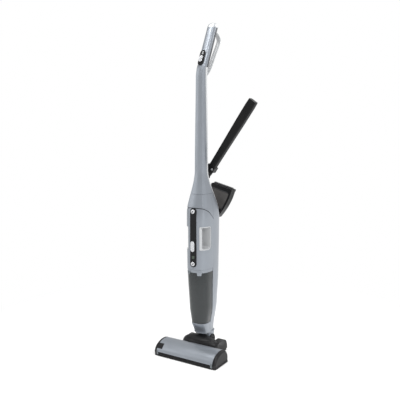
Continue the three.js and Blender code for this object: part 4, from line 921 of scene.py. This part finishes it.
# ------------------------------------------------------------------ neck and head
def build_neck():
    outer, pin = NECK_HALF_WIDTH, (PIVOT_Y, PIVOT_Z)
    top = FOOT_BOTTOM_Z - 0.6

    def column_of(z):
        rise = smooth(z, 48.0, top)
        front = -24.0 - 4.0 * rise
        rear = 18.0 + 8.0 * rise
        return [(outer * squared(math.cos(a)),
                 (front + rear) / 2 + (rear - front) / 2 * squared(math.sin(a)), z)
                for a in [2 * math.pi * i / 96 for i in range(96)]]

    fork = fuse(keep(loft([column_of(z) for z in heights(PIVOT_Z, top, 3.0)]),
                     slab(-outer, outer, -FAR, FAR, 0, FAR)),
                rod("x", 18.0, -outer, outer, pin, 72))
    fork = cut(fork, slab(-FORK_GAP_HALF, FORK_GAP_HALF, -FAR, FAR, 0, PIVOT_Z + 4),
               rod("x", 17.0, -FORK_GAP_HALF, FORK_GAP_HALF, pin, 72),
               rod("x", PIN_BORE, -FAR, FAR, pin, 40), rod("z", 11.0, 0, FAR, (0, PIVOT_Y), 48))
    fit(fork, "neck_yoke", "neck", "silver_paint", ["neck_fork"], 0.6)
    for side in (-1, 1):
        inner = side * 26.8
        profile = [(2.0, inner), (17.4, inner), (18.0, inner + side * 0.6),
                   (18.0, inner + side * 3.8),
                   (17.2, inner + side * 4.7), (15.4, inner + side * 5.0),
                   (14.6, inner + side * 4.3),
                   (13.6, inner + side * 4.1), (12.8, inner + side * 4.6),
                   (7.0, inner + side * 4.9),
                   (6.4, inner + side * 4.2), (2.0, inner + side * 4.1)]
        name, node = (("tilt_pin_head", "tilt_axle") if side > 0 else ("tilt_pin_cap", "pivot_cap"))
        disc = turned(profile, "x", pin)
        if side > 0:
            disc = fuse(disc, rod("x", 6.0, -28.0, 27.5, pin, 48))
        else:
            disc = cut(disc, rod("x", PIN_BORE, -29.0, -20.0, pin, 48))
        fit(disc, name, "neck", "black_plastic", [node], 0.2)


def head_outline(inset, foot=HEAD_FOOT_Z, steps=26):
    """Side outline of the head's cover: foot of the front, over the top and down the back."""
    front, rear, top = HEAD_FRONT_Y + inset, HEAD_REAR_Y - inset, HEAD_TOP_Z - inset
    first = [Vector((front, foot + 8)), Vector((front + 2, top - 14)), Vector((front + 24, top)),
             Vector((front + 52, top))]
    second = [first[3], Vector((front + 74, top)), Vector((rear - 8, top - 8)),
              Vector((rear, top - 26))]
    points = [(front + 2, foot)]
    for bend in (first, second):
        points += [tuple(p) for p in cubic(bend, steps, False)]
    return points + [tuple(second[3]), (rear, foot)]


def hump_form(grow):
    return ball(HUMP_CENTRE, [reach + grow for reach in HUMP_REACH], 80, 40)


def build_head():
    cover = cut(prism(head_outline(0.0), "x", -COVER_HALF, COVER_HALF),
                prism(head_outline(2.6, -5.0), "x", -COVER_HALF - 1, COVER_HALF + 1))
    cover = cut(cover, hump_form(0.6), key_room(0.5),
                slab(-COVER_HALF - 1, COVER_HALF + 1, -155, -143, 0, 15.4))
    fit(cover, "head_shell", "floor_head", "silver_paint", ["head_cover"], 0.5)
    for name, side in (("left", -1), ("right", 1)):
        rows = []
        for share, shrink in ((0.0, 0.0), (0.35, 0.0), (0.62, 0.7), (0.82, 2.0), (0.95, 4.4),
                              (1.0, 7.0)):
            x = side * (112.0 + 11.0 * share)
            rows.append([(x, y, z) for y, z in capped(shrink)])
        cap = loft(rows)
        inner = prism(head_outline(2.6, -5.0), "x", *sorted((side * 111.0, side * 117.0)))
        fit(cut(cap, inner), f"head_end_{name}", "floor_head", "black_plastic", [f"end_cap_{name}"],
            0.4)
        clip = slab(*sorted((side * 104.6, side * 111.2)), -150.6, -143.4, 5.6, 20.0)
        fit(clip, f"lip_clip_{name}", "floor_head", "clear_tab", (), 0.8)
    lip = prism([(-150.8, 7.0), (-149.6, 5.5), (-143.5, 5.5), (-143.5, 15.0), (-148.4, 15.0),
                 (-150.8, 13.4)],
                "x", -104.2, 104.2)
    notches = [slab(x - 0.7, x + 0.7, -152, -149.2, 4,
                    12.2) for x in [-98 + 14 * i for i in range(15)]]
    fit(cut(lip, *notches), "lip_strip", "floor_head", "soft_black", ["front_lip"], 0.3)
    sole = prism(rounded(-123, 123, -147, -60, 5.0), "z", 0.0, 5.0)
    sole = fuse(sole, prism(rounded(-TAIL_HALF, TAIL_HALF, -68, TAIL_REAR_Y, 8.0), "z", 0.0, 5.0))
    rooms = [slab(-107.6, 107.6, -136, -96, -1, 6)]
    for side in (-1, 1):
        for (x, y, _), half, reach in ((FRONT_WHEEL, 5.5, 8.5), (REAR_WHEEL, 7.5, 18.5)):
            rooms.append(slab(side * x - half, side * x + half, y - reach, y + reach, -1, 6))
    fit(cut(sole, *rooms), "sole_board", "floor_head", "black_plastic", ["sole_plate"],
        0.6)
    skin = cut(prism(head_outline(-1.1), "x", -COVER_HALF, 0.0),
               prism(head_outline(2.6, -5.0), "x", -130.0, 1.0))
    grips = [on_slope(slab(-108.0, -95.0, y - 0.6, y + 0.6, 0.7, 4.0)) for y in (-6.0, -3.6, -1.2,
                                                                                 1.2)]
    fit(cut(keep(skin, key_room(0.0)), *grips), "roller_key_cap", "roller_key", "black_plastic",
        ["roller_release_button"], 0.5)


def on_slope(work):
    """Lays a part drawn flat at the origin on the front slope of the head's cover."""
    return moved(work, Matrix.Translation((0, -139.0, 34.5)) @ Matrix.Rotation(HEAD_SLOPE, 4, "X"))


def key_room(grow):
    return on_slope(slab(-130.0, -COVER_HALF + 20.0 + grow, -10.0 - grow, 10.0 + grow, -12.0, 12.0))


def capped(shrink):
    """Outline of a head end, pulled in and lifted at its foot."""
    return head_outline(shrink, HEAD_FOOT_Z + shrink * 0.3)


def build_housing():
    foot, tail, start = HEAD_FOOT_Z, float(TAIL_REAR_Y), HEAD_REAR_Y + GAP
    body = prism(rounded(-TAIL_HALF, TAIL_HALF, start, tail, 7.0), "z", foot, 14.0)
    for side in (-1, 1):
        x = sorted((side * TAIL_HALF, side * 44.0))
        p = [Vector((tail, 14.0)), Vector((28.0, 42.0)), Vector((2.0, 44.0))]
        outline = [(start, foot), (tail, foot), (tail, 14.0)]
        outline += [tuple(c) for c in quadratic(p, 16, 1)]
        outline += [(-30.0, 42.0), (start, 30.0)]
        body = fuse(body, prism(outline, "x", *x))
    body = fuse(body, rod("x", 16.0, -20.0, 20.0, (PIVOT_Y, PIVOT_Z), 72),
                slab(-20, 20, -24, -2, 13, PIVOT_Z), slab(-56, 56, start, -28.4, 13, 34),
                keep(hump_form(0.0), slab(-FAR, FAR, -FAR, -28.4, foot, FAR)))
    room = fuse(keep(hump_form(-2.6), slab(-FAR, FAR, -FAR, -31, foot, FAR)),
                slab(-52, 52, -57, -31, 0, 34))
    body = cut(body, room, rod("x", PIN_BORE, -21, 21, (PIVOT_Y, PIVOT_Z), 40))
    # layered steps over the hump
    for grow, z in ((-1.2, 40.0), (-1.2, 51.0)):
        body = cut(body, cut(keep(hump_form(3.0), slab(-FAR, FAR, -FAR, -28.8, z, z + 1.2)),
                             hump_form(grow)))
    for side in (-1, 1):
        x, y, z = side * REAR_WHEEL[0], *REAR_WHEEL[1:]
        well = fuse(rod("x", 18.5, x - 7, x + 7, (y, z), 64),
                    slab(x - 7, x + 7, y - 18.5, y + 18.5, 0, 17))
        body = cut(body, well)
        body = fuse(body, rod("x", 3.0, x - 8, x + 8, (y, z), 32))
    fit(body, "rear_hump", "floor_head", "black_plastic", ["pivot_housing"], 0.7)


def wheel(middle, half, radius, bore, axle, name, body, node):
    profile = [(bore, -half), (radius * 0.5, -half), (radius * 0.56, -half + 1.2),
               (radius * 0.74, -half + 1.2),
               (radius * 0.8, -half), (radius - 1.4, -half), (radius - 0.4, -half + 0.5),
               (radius, -half + 1.6),
               (radius, -0.9), (radius - 0.7, -0.5), (radius - 0.7, 0.5), (radius, 0.9),
               (radius, half - 1.6), (radius - 0.4, half - 0.5), (radius - 1.4, half),
               (radius * 0.8, half),
               (radius * 0.74, half - 1.2), (radius * 0.56, half - 1.2), (radius * 0.5, half),
               (bore, half)]
    made = turned([(r, middle + h) for r, h in profile], "x", axle, 64, bore > 0.5)
    fit(made, name, body, "wheel_rubber", [node], 0.15)


def build_running_gear():
    reach = COVER_HALF - 8
    core = turned([(4, -reach - 7), (4, -reach), (9.6, -reach), (10, -reach + 0.6),
                   (10, -reach + 7.4),
                   (9.6, -reach + 8), (5, -reach + 8), (5, -reach + 12), (12.4, -reach + 12),
                   (13, -reach + 12.6), (13, reach - 0.6), (12.4, reach), (4, reach),
                   (4, reach + 7)],
                  "x", (ROLLER_Y, ROLLER_Z))
    fit(core, "roller_barrel", "brush_roller", "dark_plastic", ["roller_core"], 0.2)
    length, start = 2 * reach - 16, -reach + 14
    for n in range(2):
        rows = []
        for k in range(121):
            x = start + length * k / 120
            angle = math.radians(150) * k / 120 + n * math.pi
            comb = 0.5 * math.sin(k * 1.9)
            rows.append([(x, ROLLER_Y + r * math.cos(angle) - t * math.sin(angle),
                          ROLLER_Z + r * math.sin(angle) + t * math.cos(angle))
                         for r, t in ((13.6, -2.0), (17.2 + comb, -1.4), (17.6 - comb, 0.0),
                                      (17.2 + comb, 1.4), (13.6, 2.0))])
        fit(loft(rows), f"bristle_row_{n + 1}", "brush_roller", "nylon", [f"bristle_strip_{n + 1}"],
            0.0)
    for name, short, side in (("left", "l", -1), ("right", "r", 1)):
        for end, place, half, radius, bore in (("rear", REAR_WHEEL, 6, 17.0, 3.4),
                                               ("front", FRONT_WHEEL, 4, 7.0, 0.4)):
            wheel(side * place[0], half, radius, bore, place[1:], f"{end}_tyre_{name}",
                  f"{end}_wheel_{short}", f"{end}_wheel_{name}")


def build_inner_finishes():
    """The frame's own inner parts stay as they are and take a finish each."""
    wanted = {
        "roller_motor": "satin_metal", "drive_belt": "soft_black", "motor_pulley": "satin_metal",
        "dock_liner": "pale_plastic", "charge_contacts": "copper_contact",
              "dock_latch": "black_plastic",
        "wiring_loom": "soft_black", "battery_pack": "soft_black", "circuit_board": "board",
        "motor_housing": "dark_plastic", "motor_rotor": "copper_contact", "impeller": "satin_metal",
        "inlet_flap": "soft_black",
    }
    for node, coat in wanted.items():
        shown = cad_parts[node]
        shown.data.materials.clear()
        shown.data.materials.append(finish(coat))


# ------------------------------------------------------------------ stage
def area_lamp(name, place, aim, size, power, tint=(1, 1, 1)):
    lamp = bpy.data.objects.new(name, bpy.data.lights.new(name, "AREA"))
    lamp.data.shape = "RECTANGLE"
    lamp.data.size, lamp.data.size_y = size
    lamp.data.energy, lamp.data.color = power, tint
    lamp.location = place
    lamp.rotation_euler = (Vector(aim) - Vector(place)).to_track_quat("-Z", "Y").to_euler()
    bpy.context.scene.collection.objects.link(lamp)


def build_stage():
    scene = bpy.context.scene
    stage = scene.vacuum_stage
    shape = bmesh.new()
    bmesh.ops.create_circle(shape, cap_ends=True, radius=14.0, segments=64)
    mesh = bpy.data.meshes.new("studio_floor")
    shape.to_mesh(mesh)
    shape.free()
    floor = bpy.data.objects.new("studio_floor", mesh)
    mesh.materials.append(finish("floor_white"))
    scene.collection.objects.link(floor)
    floor.location.z = -0.0002
    world = bpy.data.worlds.new("studio_air")
    world.use_nodes = True
    air = world.node_tree.nodes["Background"]
    air.inputs["Color"].default_value = (1.0, 1.0, 1.0, 1.0)
    air.inputs["Strength"].default_value = stage.air_strength
    # the air looks pure white, however softly it lights the object
    sight = world.node_tree.nodes.new("ShaderNodeLightPath")
    white = world.node_tree.nodes.new("ShaderNodeBackground")
    white.inputs["Color"].default_value = (1.0, 1.0, 1.0, 1.0)
    both = world.node_tree.nodes.new("ShaderNodeMixShader")
    out = world.node_tree.nodes["World Output"]
    for source, socket in ((sight.outputs["Is Camera Ray"], both.inputs[0]),
                           (air.outputs[0], both.inputs[1]),
                           (white.outputs[0], both.inputs[2]),
                           (both.outputs[0], out.inputs["Surface"])):
        world.node_tree.links.new(source, socket)
    scene.world = world
    middle = (0.0, 0.0, 0.6)
    area_lamp("key_lamp", (2.6, -0.9, 1.9), middle, (1.2, 2.0), stage.key_power)
    area_lamp("top_lamp", (-0.2, -0.5, 3.0), middle, (1.6, 1.6), stage.key_power * 0.7)
    area_lamp("fill_lamp", (-2.4, -1.8, 1.6), middle, (1.8, 2.2), stage.key_power * 0.2)
    area_lamp("rim_lamp", (0.8, 2.4, 2.2), middle, (1.6, 1.2), stage.key_power * 0.3)
    scene.view_settings.view_transform = "Standard"

    lens = bpy.data.objects.new("camera", bpy.data.cameras.new("camera"))
    lens.data.lens = stage.focal_length
    lens.data.sensor_width = 36.0
    azimuth, tilt = math.radians(stage.azimuth), math.radians(stage.tilt)
    back = Vector((math.sin(azimuth) * math.cos(tilt), -math.cos(azimuth) * math.cos(tilt),
                   math.sin(tilt)))
    aim = Vector(stage.aim)
    lens.location = aim + back * stage.distance
    lens.rotation_euler = (-back).to_track_quat("-Z", "Y").to_euler()
    scene.collection.objects.link(lens)
    scene.camera = lens


# ------------------------------------------------------------------ add-on
class VacuumSizes(bpy.types.PropertyGroup):
    form_segments: IntProperty(name="Form segments",
                               description="Points round each ring of the outer form",
                               default=96, min=24, max=192)


def colour(name, words, value):
    return FloatVectorProperty(name=name, description=words, subtype="COLOR", default=value)


class VacuumFinishes(bpy.types.PropertyGroup):
    silver: colour("Silver", "Blue-grey metallic of the shells", (0.29, 0.315, 0.35))
    pale: colour("Pale", "Light grey of the rear cover and finger recess", (0.50, 0.51, 0.52))
    loop: colour("Loop", "Milky white of the hand loop", (0.40, 0.41, 0.42))
    black: colour("Black", "Moulded black of the head", (0.010, 0.010, 0.011))
    grip: colour("Grip", "Dark grey of the back of the grip", (0.06, 0.063, 0.07))
    tool: colour("Tools", "Black of the two tools", (0.006, 0.006, 0.0065))
    smoke: colour("Smoke", "Tint of the dust cup", (0.035, 0.05, 0.055))
    floor: colour("Floor", "Studio floor", (0.97, 0.97, 0.97))


class VacuumStage(bpy.types.PropertyGroup):
    azimuth: FloatProperty(name="Azimuth",
                           description="Turn of the camera round the stick, in degrees",
                           default=32.0)
    tilt: FloatProperty(name="Tilt", description="How far down the camera looks, in degrees",
                        default=6.6)
    distance: FloatProperty(name="Distance", description="From the camera to its aim", default=1.87,
                            unit="LENGTH")
    focal_length: FloatProperty(name="Focal length",
                                description="Lens of the camera, in millimetres", default=48.3)
    aim: FloatVectorProperty(name="Aim", description="Point that the camera looks at",
                             subtype="XYZ",
                             default=(-0.020, -0.012, 0.536))
    key_power: FloatProperty(name="Key light", description="Power of the main lamp", default=70.0,
                             unit="POWER")
    air_strength: FloatProperty(name="Air", description="Strength of the even light all round",
                                default=0.5)


def part_operator(name, label, words, build):
    """An operator that builds one part or group of like parts."""
    def execute(self, context):
        build()
        return {"FINISHED"}

    return type(f"VACUUM_OT_{name}", (bpy.types.Operator,), {
        "__doc__": words, "bl_idname": f"vacuum.{name}", "bl_label": label,
        "bl_options": {"REGISTER", "UNDO"}, "execute": execute})


OPERATORS = tuple(part_operator(*words) for words in (
    ("covers", "Stick covers", "Build the stick's front and rear covers", build_covers),
    ("grip", "Grip", "Build the grip, its cap and its switch", build_grip),
    ("loop", "Hand loop", "Build the hand loop behind the grip", build_loop),
    # The dark band that the dock's words below name with the canopy is painted shade in the arched
    # seam gap, not a real seal.
    ("dock", "Dock", "Build the canopy, seal, housing and foot of the dock", build_dock),
    ("unit", "Hand unit", "Build the hand unit's shells and recess", build_unit_shells),
    ("controls", "Controls", "Build the control strip, keys and slider", build_controls),
    ("cup", "Dust cup", "Build the cup, its collar and what is in it", build_cup),
    ("tools", "Tools", "Build the two tools and their holders", build_tools),
    ("neck", "Neck", "Build the neck and its pin", build_neck),
    ("head", "Floor head", "Build the floor head's cover, ends and sole", build_head),
    ("housing", "Rear housing", "Build the black housing behind the head", build_housing),
    ("gear", "Running gear", "Build the roller and the wheels", build_running_gear),
    ("inner", "Inner parts", "Give the frame's inner parts their finishes", build_inner_finishes),
    ("stage", "Stage", "Build the floor, the lights and the camera", build_stage),
))


class VACUUM_PT_parts(bpy.types.Panel):
    """Lists what can be built"""
    bl_label = "Stick Vacuum"
    bl_idname = "VACUUM_PT_parts"
    bl_space_type = "VIEW_3D"
    bl_region_type = "UI"
    bl_category = "Stick Vacuum"

    def draw(self, context):
        for operator in OPERATORS:
            self.layout.operator(operator.bl_idname)


GROUPS = {"vacuum_sizes": VacuumSizes, "vacuum_finishes": VacuumFinishes,
          "vacuum_stage": VacuumStage}
CLASSES = (*GROUPS.values(), *OPERATORS, VACUUM_PT_parts)


def register():
    for item in CLASSES:
        bpy.utils.register_class(item)
    for name, group in GROUPS.items():
        setattr(bpy.types.Scene, name, PointerProperty(type=group))


def unregister():
    for name in GROUPS:
        delattr(bpy.types.Scene, name)
    for item in reversed(CLASSES):
        bpy.utils.unregister_class(item)


def main():
    register()
    for operator in OPERATORS:
        group, name = operator.bl_idname.split(".")
        getattr(getattr(bpy.ops, group), name)()


if __name__ == "__main__":
    main()
